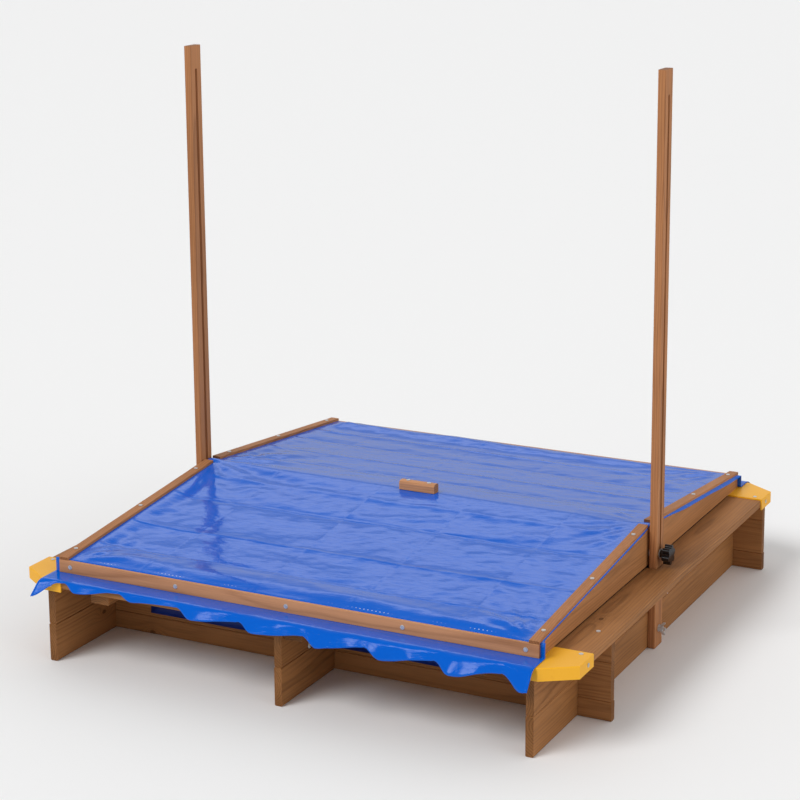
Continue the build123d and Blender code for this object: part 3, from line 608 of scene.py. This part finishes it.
def heads_of(name, body, out, radius=0.0042, rise=0.0013):
    """Adds a head to each of a node's screws, on the side where the solids stand proud.

    out(centre) gives the outward direction; the head sits level with the
    solid's end on that side, less its own height."""
    places = []
    for k, (low, high) in enumerate(clusters(name)):
        centre = (low + high) / 2
        direction = np.array(Vector(out(centre)).normalized())
        main = int(np.argmax(np.abs(direction)))
        tip = centre.copy()
        tip[main] = high[main] if direction[main] > 0 else low[main]
        places.append((tuple(tip - direction * rise), tuple(direction), 0.7 * k + 0.2))
    screw_heads(name + "_heads", body, places, radius, rise)


heads_of("strip_screws", "cover", lambda c: (0, math.copysign(fall, c[1]), 1))
heads_of("batten_screws", "cover", lambda c: (0, math.copysign(1, c[1]), 0), 0.0046)
heads_of("handle_screws", "cover", lambda c: (0, 0, 1))
heads_of("bench_screws", "box", lambda c: (0, 0, 1))

# %% [markdown]
# ## The cover sheet
#
# The cover is a sheet of woven polyethylene with a glossy film on both sides,
# the stuff of every cheap tarpaulin. It is laid over the ridge, clamped by
# strips along the gables and by a batten along each eave, and its free hem
# lies on the bench and hangs over the edge in lazy scallops. It could be
# dropped on the frame by a cloth simulation. But this sheet was folded in a
# packet, and most of what shows is not how it hangs but its creases, the
# pulls from the clamped corners and the crumple of stiff film. Those are
# easier to place one by one, so the sheet is one grid, bent along its path, with
# each kind of crease added as a height.

# %% The sheet's path from hem to hem
HEM = 0.047            # the longest free length past the bench edge
STEP = 0.0062          # grid spacing on the slopes
hem_t = np.linspace(0, 1, 10)[1:]
slope_len = math.hypot(clamp_y, fall * clamp_y)


def half_path():
    """Points (y, z) from the ridge to the lip on one side, and the metres walked.

    The ridge is rounded by using sqrt(y^2 + r^2) in place of |y|. Down the
    rail's face and out over the bench, each corner is a few points on a
    quarter circle."""
    y = np.linspace(0, clamp_y - 0.002, int(slope_len / STEP))
    z = ridge + 0.0008 - fall * np.sqrt(y**2 + 0.004**2)
    over = np.linspace(0.25, 1, 4) * (np.pi / 2 - 0.1)
    z = np.concatenate([z, z[-1] - 0.0018 * (1 - np.cos(over)) - 0.0002 * over])
    y = np.concatenate([y, y[-1] + 0.0018 * np.sin(over)])
    z = np.concatenate([z, np.linspace(z[-1], batten_low.z + 0.0012, 6)[1:]])
    y = np.concatenate([y, np.full(5, clamp_y)])
    out = np.linspace(0.3, 1, 3) * np.pi / 2
    z = np.concatenate([z, z[-1] - 0.0012 * np.sin(out)])
    y = np.concatenate([y, clamp_y + 0.0012 * (1 - np.cos(out))])
    z = np.concatenate([z, np.linspace(z[-1], lie_z + 0.0004, 10)])
    y = np.concatenate([y, np.linspace(y[-1], lip_y, 11)[1:]])
    walked = np.concatenate([[0], np.cumsum(np.hypot(np.diff(y), np.diff(z)))])
    return y, z, walked


path_y, path_z, walked = half_path()
print("sheet length hem to hem:", round(2 * (walked[-1] + HEM), 3), "m")

# %% [markdown]
# The sheet's heights are sums of simple terms. A slack sheet sags between its
# clamps like a shallow pillow turned over. Packet folds are sharp V lines in
# a grid. From each place where the sheet is pinned, folds fan out and die
# away. Everywhere the film crumples a little, in facets more than in waves,
# so the crumple is folded: 1 - 2|noise|.

# %% Heights over one slope
SPAN = 0.505           # half the width between the strips
FOLDS_ACROSS = (       # y at the left strip and y at the right one
    (-0.455, -0.475), (-0.335, -0.345), (-0.185, -0.180), (-0.075, -0.07),
    (0.10, 0.105), (0.215, 0.205), (0.335, 0.325), (0.43, 0.44),
)
FOLDS_DOWN = ((-0.33, -0.345), (-0.075, -0.09), (0.135, 0.12), (0.36, 0.35))   # x at the front and at the back
PULLS = (              # a pinned place x, y, how far its folds reach, and their height
    (-0.515, 0, 0.15, 0.0042), (0.515, 0, 0.10, 0.0022),
    (-0.51, -clamp_y, 0.09, 0.0022), (0.51, -clamp_y, 0.16, 0.0034),
    (0.51, clamp_y, 0.13, 0.0028), (-0.51, clamp_y, 0.08, 0.0022),
)
STRIP_SCREWS = (-0.52, -0.29, -0.07, 0.07, 0.29, 0.52)


def folds_from(x, y, x0, y0, reach, count, seed):
    """Folds that fan out of a pinned point.

    cos(count * angle) with a random swing, grown over the first 5 cm and faded over reach."""
    r, a = np.hypot(x - x0, y - y0), np.arctan2(y - y0, x - x0)
    swing = 1.6 * crumple(a * 0.35, r, 0.22, seed)
    return np.cos(count * a + swing) * ease(r / 0.05) * np.exp(-r / reach)


def line_fold(x, y, x0, y0, x1, y1, seed, width=0.010):
    """A V-shaped fold along a line between two points, broken up along its length and tapered at both ends."""
    dx, dy = x1 - x0, y1 - y0
    long = math.hypot(dx, dy)
    along = ((x - x0) * dx + (y - y0) * dy) / long
    off = ((x - x0) * dy - (y - y0) * dx) / long + 0.0018 * wave(along, 0, 0.17, seed)
    taper = ease(along / 0.06) * ease((long - along) / 0.06)
    return np.exp(-np.abs(off) / width) * taper * (0.85 + 0.25 * wave(along, 0.3, 0.2, seed + 5))


def slack(x, y):
    """A hollow in the middle, a dip beside the left strip, and a roll before each batten, taller at the back."""
    ay = np.abs(y)
    bow = np.sin(np.pi * np.clip(ay / clamp_y, 0, 1))
    from_strip = np.clip(x + SPAN, 0, None)
    hollow = -0.0050 * bow**0.8 * np.cos(np.pi * np.clip(x / 1.04, -0.5, 0.5)) ** 0.6
    dip = -0.0085 * (1 - np.exp(-from_strip / 0.045)) * np.exp(-from_strip / 0.22) * bow**0.6 * (y < 0)
    front = 0.0058 + 0.002 * wave(x, 3, 0.16, 12)
    back = 0.0105 * ease((0.50 - x) / 0.22) * (0.8 + 0.3 * wave(x, 0, 0.2, 11))
    return hollow + dip + bell(ay, clamp_y - 0.042, 0.030) * np.where(y > 0, back, front)


def packet_folds(x, y):
    """The folds of the packet, standing up and sinking in by turns."""
    h = 0
    for k, (y0, y1) in enumerate(FOLDS_ACROSS):
        h = h + (0.0022 if k % 2 else -0.0025) * line_fold(x, y, -0.52, y0, 0.52, y1, 20 + k)
    for k, (x0, x1) in enumerate(FOLDS_DOWN):
        h = h + (0.0009 if k % 2 else -0.0011) * line_fold(x, y, x0, -0.54, x1, 0.54, 40 + k)
    return h


def pulls(x, y):
    """Folds from the ends of the ridge, the corners, and each screw of the strips."""
    h = 0
    for k, (x0, y0, reach, high) in enumerate(PULLS):
        h = h + high * folds_from(x, y, x0, y0, reach, 13 + 2 * k, 60 + k)
    for k, y0 in enumerate(STRIP_SCREWS):
        h = h + 0.0011 * folds_from(x, y, 0.50, y0, 0.055, 11, 70 + k)
        h = h + 0.0011 * folds_from(x, y, -0.50, y0, 0.045, 9, 76 + k)
    return h


def crumpled_film(x, y):
    """Noise at three sizes, the two larger ones folded, leaning across the weave."""
    u, v = x * 0.75 + y * 0.45, y * 1.25 - x * 0.35
    h = 0.0010 * (1 - 2 * np.abs(crumple(x * 0.6, y * 1.5, 0.15, 3)))
    h = h + 0.0006 * (1 - 2 * np.abs(crumple(u, v, 0.055, 4)))
    return h + 0.00034 * crumple(u * 0.8, v * 1.5, 0.027, 5)


def slope_height(x, y):
    """Height of the sheet above its straight line at a plan position: the sum of all four, held at the clamps."""
    ay = np.abs(y)
    held = ease((SPAN - np.abs(x)) / 0.05) * ease((clamp_y - ay) / 0.022) * (0.3 + 0.7 * ease(ay / 0.05))
    h = slack(x, y) + packet_folds(x, y) + pulls(x, y) + crumpled_film(x, y)
    # the sheet is puckered where the strips stop short of the ridge
    pucker = (0.0045 * bell(x, -0.512, 0.02) + 0.0025 * bell(x, 0.512, 0.02)) * bell(y, 0, 0.009)
    return h * held + pucker


# %% [markdown]
# The hem was cut by hand, so its free edge runs in uneven scallops: it drops
# fast, then climbs slowly to the next cusp, and hangs lower towards the right.
# It also swings in and out as it goes. Each point is found by walking down
# from the bench edge at an angle that eases from flat to hanging.

# %% The hem
SCALLOP = 0.1376       # width of one scallop
FIRST_CUSP = -0.489


def hem_length(x, side):
    """Free length at each x.

    A rising base plus a scallop that grows in a quarter of its width and
    fades over the rest, smaller near the left end and larger near the right
    one, plus the two pulled-out tips. The back hem is the front one turned
    round."""
    x = x if side < 0 else -x * 0.93 + 0.03
    phase = (x - FIRST_CUSP + 0.008 * wave(x, side, 0.2, 80)) / SCALLOP
    part = phase - np.floor(phase)
    tooth = ease(part / 0.27) * (1 - ease((part - 0.27) / 0.73) * 0.92)
    size = 0.0185 - 0.0105 * bell(x, -0.285, 0.055) + 0.007 * bell(x, 0.39, 0.06) + 0.002 * wave(x, 2, 0.25, 82)
    tips = 0.030 * ease((-x - 0.500) / 0.035) + 0.012 * ease((x - 0.495) / 0.03)
    return 0.004 + 0.018 * ease((x + 0.46) / 0.56) + size * tooth + tips


def hem(x, side):
    """Offsets (out, down) from the lip for every hem row."""
    t = np.concatenate([[0], hem_t])[:, None]
    swing = 0.32 * wave(x, side, 0.06, 84) + 0.30 * wave(x, 4 * side, 0.14, 85)
    end = np.clip(0.50 + swing, 0.05, 1.1)[None, :]
    angle = end + (1.42 - end) * (1 - ease(t / 0.38)) + 0.35 * (t - 0.6) * wave(x, 6, 0.035, 86)[None, :]
    middle = (angle[1:] + angle[:-1]) / 2
    step = hem_length(x, side)[None, :] / len(hem_t)
    return np.cumsum(np.sin(middle) * step, 0), np.cumsum(np.cos(middle) * step, 0)


# %% Build the sheet
TURNED_DOWN = np.array([0.3, 0.65, 1.0])   # columns past the gable's edge
flat_columns = np.arange(-0.5245, 0.5246, 2 * 0.5245 / 170) / 0.5245
columns = np.concatenate([-1 - TURNED_DOWN[::-1], flat_columns, 1 + TURNED_DOWN])


def build_cover():
    """The whole cover as one grid: rows from the front hem to the back hem, columns from left to right."""
    rows_y = np.concatenate([-path_y[::-1], path_y[1:]])
    rows_z = np.concatenate([path_z[::-1], path_z[1:]])
    rows_s = np.concatenate([-walked[::-1], walked[1:]])
    s, c = np.meshgrid(rows_s, columns, indexing="ij")
    y0 = np.broadcast_to(rows_y[:, None], s.shape)
    z0 = np.broadcast_to(rows_z[:, None], s.shape)
    ay, sign = np.abs(y0), np.sign(c)
    inner = np.clip(c, -1, 1) * (half_gable - 0.0003)
    extra = np.clip(np.abs(c) - 1, 0, 1)
    # how far the sheet runs past the gable, and how steeply it turns down there: less at the back right
    on_slope = ease((clamp_y - 0.001 - ay) / 0.02)
    loose_end = ease((y0 - 0.05) / 0.2) * (sign > 0)
    past = 0.0028 + 0.0022 * np.maximum(0, crumple(s, sign, 0.14, 7)) + 0.0045 * loose_end
    past = past * on_slope + (1 - on_slope) * np.where(sign > 0, 0.0095, 0.0125)
    past = past * (1 - 0.5 * bell(y0, 0, 0.03) * on_slope)
    droop = (1.35 - 0.5 * loose_end) * on_slope
    x = inner + sign * extra * past * np.cos(droop)
    z = z0 - extra * past * np.sin(droop)
    z = z + np.where(ay < clamp_y - 0.0015, slope_height(inner, y0), 0.0)
    # between rail and batten nothing moves; on the bench the sheet ripples a little
    lying = ease((ay - clamp_y - 0.004) / 0.02) * (1 - 0.55 * ease((ay - lip_y + 0.012) / 0.012))
    ripple = 0.00128 * (0.6 + 0.6 * crumple(x, y0 + 5, 0.07, 9))
    z = z + lying * ripple * ease((0.5 - np.abs(x)) / 0.03)
    top = np.stack([x, y0, z], -1)
    hems = []
    for side, row in ((-1, 0), (1, -1)):
        lip = top[row]
        out, down = hem(lip[:, 0], side)
        tip = ease((np.abs(lip[:, 0]) - 0.5) / 0.04) * (lip[:, 0] * side > 0)
        hem_x = lip[:, 0] * (1 + 0.022 * hem_t[:, None] * tip)
        hems.append(np.stack([hem_x, lip[:, 1] + side * out, lip[:, 2] - down], -1))
    points = np.concatenate([hems[0][::-1], top, hems[1]])
    all_s = np.concatenate([-walked[-1] - HEM * hem_t[::-1], rows_s, walked[-1] + HEM * hem_t])
    flat_u = np.clip(columns, -1, 1) * half_gable + np.sign(columns) * np.clip(np.abs(columns) - 1, 0, 1) * 0.01
    uv = np.stack(np.broadcast_arrays(flat_u[None, :], all_s[:, None]), -1)
    cover = surface("cover_tarpaulin", points, uv)
    film_thickness(cover)
    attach(cover, "cover")
    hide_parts("cover_sheet")
    return cover


cover = build_cover()

# %% [markdown]
# ## Tarpaulin finish
#
# A tarpaulin is woven from flat tapes a couple of millimetres wide, then
# coated with clear film. So there are two scales: the weave makes a fine
# square texture under the gloss, and the film wrinkles over it. The colour
# is nearly even, but the film scatters a little light where it has been
# creased. The group is used for the cover and, darker, for the ground sheet.

# %% Woven film
tarp, tarp_in, tarp_out = group("Coated tapes", [
    ("Cloth", "Vector", None), ("Tape", "Float", 0.0022), ("Tone", "Color", (0, 0.1, 0.6, 1)),
    ("Worn", "Color", (0.1, 0.3, 0.8, 1)), ("Gloss", "Float", 0.16),
])
cloth = tarp_in["Cloth"]
tape_u, tape_v = (maths(tarp, "DIVIDE", part, tarp_in["Tape"]) for part in separate(tarp, cloth)[:2])
hump = lambda value: maths(tarp, "ABSOLUTE", maths(tarp, "SINE", times(tarp, value, math.pi)))
over = total(tarp, maths(tarp, "FLOOR", tape_u), maths(tarp, "FLOOR", tape_v))
over = maths(tarp, "ABSOLUTE", maths(tarp, "MODULO", over, 2.0))
under = maths(tarp, "SUBTRACT", 1.0, over)
weave = total(tarp, times(tarp, hump(tape_u), over), times(tarp, hump(tape_v), under))

film = noise(tarp, stretch(tarp, cloth, (34, 60, 34)), 1.0)
streak = noise(tarp, stretch(tarp, cloth, (48, 150, 48)), 1.0, 1.0)
fine = noise(tarp, stretch(tarp, cloth, (150, 260, 150)), 1.0, 3.0, 0.6)
patch = noise(tarp, cloth, 5.0, 3.0, 0.6)
facet = {"Vector": stretch(tarp, cloth, (42, 70, 42)), "Scale": 1.0, "Randomness": 1.0}
facet = node(tarp, "ShaderNodeTexVoronoi", facet, feature="DISTANCE_TO_EDGE").outputs["Distance"]
crease_line = ramp(tarp, facet, (0.0, 1.0), (0.05, 0.0))
worn = times(tarp, crease_line, ramp(tarp, film, (0.45, 0.0), (0.7, 1.0)))
share = total(tarp, times(tarp, worn, 0.25), maths(tarp, "MULTIPLY_ADD", patch, 0.35, -0.08))
share = node(tarp, "ShaderNodeClamp", {"Value": share}).outputs[0]
tarp.links.new(blend_colours(tarp, share, tarp_in["Tone"], tarp_in["Worn"]), tarp_out["Color"])
dull = maths(tarp, "MULTIPLY_ADD", worn, 0.10, times(tarp, fine, 0.05))
tarp.links.new(total(tarp, tarp_in["Gloss"], dull), tarp_out["Roughness"])
height = total(
    tarp,
    times(tarp, weave, 0.006),
    times(tarp, film, 0.26),
    times(tarp, streak, 0.10),
    times(tarp, fine, 0.03),
    times(tarp, crease_line, 0.03),
)
tarp.links.new(height, tarp_out["Height"])

SEAM = slope_len - 0.009                     # distance of the stitched seam from the ridge
STITCH, STITCH_SHARE = 0.0085, 0.25          # one stitch every so many metres, and the share that shows
CREASE = 0.006                               # half the width of a fold line
CREASES = [(1, at, 0.36) for at in (-0.467, -0.342, -0.182, 0.103, 0.21, 0.33, 0.435)]
CREASES += [(0, at, 0.10) for at in (-0.337, -0.082, 0.127, 0.355)]


def stitched(tree, cloth, colour):
    """The colour with a white stitched seam along both eaves, broken into stretches."""
    along = separate(tree, cloth)
    line = maths(tree, "COMPARE", maths(tree, "ABSOLUTE", along[1]), SEAM, 0.0008)
    dash = maths(tree, "FRACT", maths(tree, "DIVIDE", total(tree, along[0], 5.0), STITCH))
    dash = maths(tree, "LESS_THAN", dash, STITCH_SHARE)
    shown = ramp(tree, noise(tree, stretch(tree, cloth, (9, 0, 0)), 1.0, 1.0), (0.50, 0.0), (0.62, 0.85))
    return blend_colours(tree, times(tree, times(tree, line, dash), shown), colour, (0.75, 0.8, 0.9, 1))


def creased(tree, cloth, height):
    """The height with the packet's sharp fold lines.

    Each crease is (0 for a fold at one x or 1 for one at one distance from
    the ridge, its place, its height). It falls to 0 in a straight line."""
    along = separate(tree, cloth)
    wobble = maths(tree, "MULTIPLY_ADD", noise(tree, cloth, 7.0, 3.0), 0.014, -0.007)
    for axis, at, tall in CREASES:
        away_from = maths(tree, "SUBTRACT", total(tree, along[axis], wobble), at)
        away_from = maths(tree, "ABSOLUTE", away_from)
        height = total(tree, height, between(tree, away_from, 0.0, CREASE, tall, 0.0, "LINEAR"))
    return height


def tarpaulin(name, tone, worn_tone, gloss, sewn=False):
    """A tarpaulin material on the piece's own cloth map; sewn adds the cover's seams and packet folds."""
    made, tree, shader = material(name, Specular_IOR_Level=0.46, Coat_Weight=0.15, Coat_Roughness=0.03)
    cloth = node(tree, "ShaderNodeUVMap", uv_map="cloth").outputs[0]
    out = use(tree, tarp, {"Cloth": cloth, "Tone": tone, "Worn": worn_tone, "Gloss": gloss})
    colour, height = out["Color"], out["Height"]
    if sewn:
        colour, height = stitched(tree, cloth, colour), creased(tree, cloth, height)
    feed(tree, shader, colour, out["Roughness"], height, 0.8, 0.0022)
    return made


blue = tarpaulin("blue_tarpaulin", (0.0, 0.104, 0.58, 1), (0.004, 0.165, 0.72, 1), 0.02, sewn=True)
cover.data.materials.append(blue)

# %% [markdown]
# ## The ground sheet
#
# Inside the box lies a darker tarpaulin that keeps sand and soil apart. It
# covers the ground, stands up against the four walls, and at the front goes
# over the wall and hangs down outside as a flap, cut where the middle stub
# wall stands. Four corners of a flat cloth can't all stand up without
# spare cloth, so the corners are taken in along an upright seam. The grid is
# flat cloth again: past the edge of the floor a point walks upwards.

# %% Ground sheet
INSET = 0.0012                               # sheet to wall
WALL_UP = 0.139                              # how high it stands up the walls
FLAP_X = (-0.415, 0.262)
FLAP_BOTTOM = 0.047
STUB_GAP = 0.0095                            # half the cut for the stub wall
floor_x = side_wall_in - INSET
floor_y0, floor_y1 = front_high.y + INSET, back_wall_in - INSET
front_run = front_top + 0.0006               # cloth up the front wall
over_wall = front_high.y - front_low.y + 2 * INSET


def build_liner():
    """The ground sheet.

    Columns walk the left wall, the floor and the right wall. Rows walk the
    back wall, the floor, the front wall, its top, and the flap."""
    flat = np.concatenate([np.linspace(-floor_x, floor_x, 79), [*FLAP_X, -STUB_GAP, STUB_GAP]])
    flat = np.unique(np.round(flat, 5))
    rise = np.linspace(0, WALL_UP, 13)[1:]
    u = np.concatenate([-floor_x - rise[::-1], flat, floor_x + rise])
    v = [floor_y1 + rise[::-1], np.linspace(floor_y1, floor_y0, 72)]
    for run, count in ((front_run, 13), (over_wall, 5), (front_run - FLAP_BOTTOM, 13)):
        v.append(v[-1][-1] - np.linspace(0, run, count)[1:])
    v = np.concatenate(v)
    V, U = np.meshgrid(v, u, indexing="ij")
    # how far each point has walked past the floor's edges: sideways, back, up the front, over it, down the flap
    over_x = np.clip(np.abs(U) - floor_x, 0, None)
    back = np.clip(V - floor_y1, 0, None)
    front = np.clip(floor_y0 - V, 0, None)
    up = np.minimum(front, front_run)
    across_top = np.clip(front - front_run, 0, over_wall)
    down = np.clip(front - front_run - over_wall, 0, None)
    x = np.clip(U, -floor_x, floor_x)
    y = np.clip(V, floor_y0, floor_y1) - across_top
    z = 0.0007 + np.maximum(np.maximum(over_x, back), up) - down
    # soft bumps of the ground
    from_side, from_ends = floor_x - np.abs(x), np.minimum(y - floor_y0, floor_y1 - y)
    bumps = 0.0035 + 0.003 * crumple(x, y, 0.19, 31) + 0.0016 * (1 - 2 * np.abs(crumple(x, y, 0.07, 32)))
    on_floor = (over_x == 0) & (back == 0) & (front == 0)
    z = z + np.where(on_floor, ease(np.minimum(from_side, from_ends) / 0.05) * bumps, 0)

    def off_wall(along, high, seed):
        """How far slack cloth stands off a wall, never through it."""
        return 0.0035 * np.clip(0.5 + 0.5 * crumple(along, high, 0.09, seed), 0, 1) * ease(high / 0.03)

    on_front = (down == 0) & (across_top == 0) & (up > 0)
    y = y + np.where(on_front, off_wall(x, up, 33) * ease(from_side / 0.03) * ease((front_run - up) / 0.02), 0)
    y = y - np.where(back > 0, off_wall(x, back, 34) * ease(from_side / 0.03), 0)
    from_ends = np.minimum(y - floor_y0, floor_y1 - y)
    x = x - np.sign(U) * np.where(over_x > 0, off_wall(y, over_x, 35) * ease(from_ends / 0.03), 0)
    hang = 0.0004 + 0.0035 * ease(down / 0.1) * np.clip(0.4 + 0.6 * crumple(x, down, 0.12, 36), 0, 1)
    y = y - np.where(down > 0, hang, 0)
    x = x - np.where((down > 0) & (U <= FLAP_X[0] + 1e-6), down * 0.08, 0)
    # the faces to keep: no corners, and past the front wall's inner face only the flap, cut at the stub wall
    mv, mu = np.meshgrid((v[1:] + v[:-1]) / 2, (u[1:] + u[:-1]) / 2, indexing="ij")
    beyond = mv < floor_y0 - front_run
    keep = ~((np.abs(mu) > floor_x) & ((mv > floor_y1) | (mv < floor_y0)))
    keep &= ~(beyond & ((mu < FLAP_X[0]) | (mu > FLAP_X[1]) | (np.abs(mu) < STUB_GAP)))
    liner = surface("ground_sheet", np.stack([x, y, z], -1), np.stack([U, V], -1), keep=keep, close=0.0004)
    film_thickness(liner)
    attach(liner, "box")
    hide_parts("ground_liner")
    return liner


liner = build_liner()
deep_blue = tarpaulin("deep_blue_liner", (0.002, 0.02, 0.20, 1), (0.01, 0.05, 0.32, 1), 0.26)
liner.data.materials.append(deep_blue)

# %% [markdown]
# ## Light, floor and camera
#
# The stage is a studio: a pale floor, an even pale sky, one large soft lamp
# in front to the left and a weak low one at the right, which lights the ends
# of the planks. A glossy sheet shows mostly what it mirrors. So mirror rays
# see their own surroundings: a dark room with a bright band on its back wall
# and one small lamp. The front slope mirrors the band, the far slope the
# paler wall below it, and the lamps themselves are left out of the mirror.

# %% Floor
scene = bpy.context.scene
scene.view_settings.view_transform = "Standard"
scene.view_settings.look = "None"

floor_mesh = bpy.data.meshes.new("floor")
floor_corners = [(-40, -40, -0.0004), (40, -40, -0.0004), (40, 40, -0.0004), (-40, 40, -0.0004)]
floor_mesh.from_pydata(floor_corners, [], [(0, 1, 2, 3)])
floor = bpy.data.objects.new("floor", floor_mesh)
scene.collection.objects.link(floor)
floor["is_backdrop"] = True
pale, tree, shader = material("pale_floor", Roughness=0.9)
# painted reflection: the floor is pale for the camera but painted dark grey for mirror rays, so the glossy sheet
# mirrors a dim floor
mirror_ray = node(tree, "ShaderNodeLightPath").outputs["Is Glossy Ray"]
floor_tone = blend_colours(tree, mirror_ray, (0.9, 0.9, 0.9, 1), (0.36, 0.36, 0.37, 1))
tree.links.new(floor_tone, shader.inputs["Base Color"])
floor_mesh.materials.append(pale)

# %% Sky
BAND = (               # brightness of the mirrored back wall, by height: sin of the elevation
    (0.0, 0.26), (0.18, 0.36), (0.32, 0.26), (0.39, 0.20),
    (0.465, 0.70), (0.53, 0.86), (0.61, 0.46), (0.70, 0.12), (1.0, 0.05),
)
SMALL_LAMP = Vector((-0.35, -0.72, 0.60)).normalized()
world = bpy.data.worlds.new("studio")
scene.world = world
world.use_nodes = True
sky = world.node_tree
toward = node(sky, "ShaderNodeTexCoord").outputs["Generated"]
away = separate(sky, toward)

# what lights the wood: brighter behind, a little darker overhead
glow = times(sky, between(sky, away[1], -0.15, 0.75, 0.50, 1.05), between(sky, away[2], 0.35, 0.95, 1.0, 0.72))

# what the sheet mirrors
back_wall = between(sky, away[1], -0.1, 0.5, 0.0, 1.0)
aside = maths(sky, "ABSOLUTE", total(sky, away[0], 0.36))
climb = times(sky, ramp(sky, away[2], *BAND), between(sky, aside, 0.22, 0.55, 1.45, 0.75))
near_lamp = node(sky, "ShaderNodeVectorMath", {0: toward, 1: SMALL_LAMP}, operation="DOT_PRODUCT").outputs["Value"]
soft_lamp = between(sky, near_lamp, 0.984, 0.997, 0.0, 3.0)
mirrored = total(sky, maths(sky, "MULTIPLY_ADD", back_wall, climb, 0.09), soft_lamp)

ray = node(sky, "ShaderNodeLightPath").outputs
level = maths(sky, "MULTIPLY_ADD", ray["Is Glossy Ray"], maths(sky, "SUBTRACT", mirrored, glow), glow)
level = maths(sky, "MULTIPLY_ADD", ray["Is Camera Ray"], maths(sky, "SUBTRACT", 0.93, level), level)
sky.nodes["Background"].inputs["Color"].default_value = (1, 1, 1, 1)
sky.links.new(level, sky.nodes["Background"].inputs["Strength"])


# %% Lamps
def sun(name, toward, spread, power):
    """A wide, even light that comes from the direction toward; spread is the width of its disc in degrees."""
    data = bpy.data.lights.new(name, "SUN")
    data.angle, data.energy = math.radians(spread), power
    made = bpy.data.objects.new(name, data)
    made.rotation_euler = Vector(toward).to_track_quat("Z", "Y").to_euler()
    made.visible_glossy = False
    scene.collection.objects.link(made)


sun("key", (-0.55, -1.0, 1.15), 30, 1.7)
sun("rim", (1.0, -0.1, 0.3), 40, 0.65)

# %% [markdown]
# The camera stands at a person's height, four metres away, and looks down by
# 12 degrees. Its lens is shifted so that the tall posts stay in the picture
# while the box stands low in it.

# %% Camera
EYE = (1.943, -3.848, 1.644)
YAW, PITCH, ROLL = (math.radians(angle) for angle in (26.17, 12.44, -0.20))
ahead = Vector((-math.sin(YAW) * math.cos(PITCH), math.cos(YAW) * math.cos(PITCH), -math.sin(PITCH)))
right = Vector((math.cos(YAW), math.sin(YAW), 0))
up = right.cross(ahead)
right, up = math.cos(ROLL) * right + math.sin(ROLL) * up, -math.sin(ROLL) * right + math.cos(ROLL) * up
lens = bpy.data.cameras.new("camera")
lens.sensor_width, lens.lens = 36, 95.31
lens.shift_x, lens.shift_y = -0.05, -0.1375
camera = bpy.data.objects.new("camera", lens)
camera.matrix_world = Matrix.Translation(EYE) @ Matrix((right, up, -ahead)).transposed().to_4x4()
scene.collection.objects.link(camera)
scene.camera = camera

# %% Sizes before and after
final_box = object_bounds()
grown = (final_box[1] - final_box[0]) - (solid_box[1] - solid_box[0])
print("grown by mm:", [round(1000 * side, 1) for side in grown])
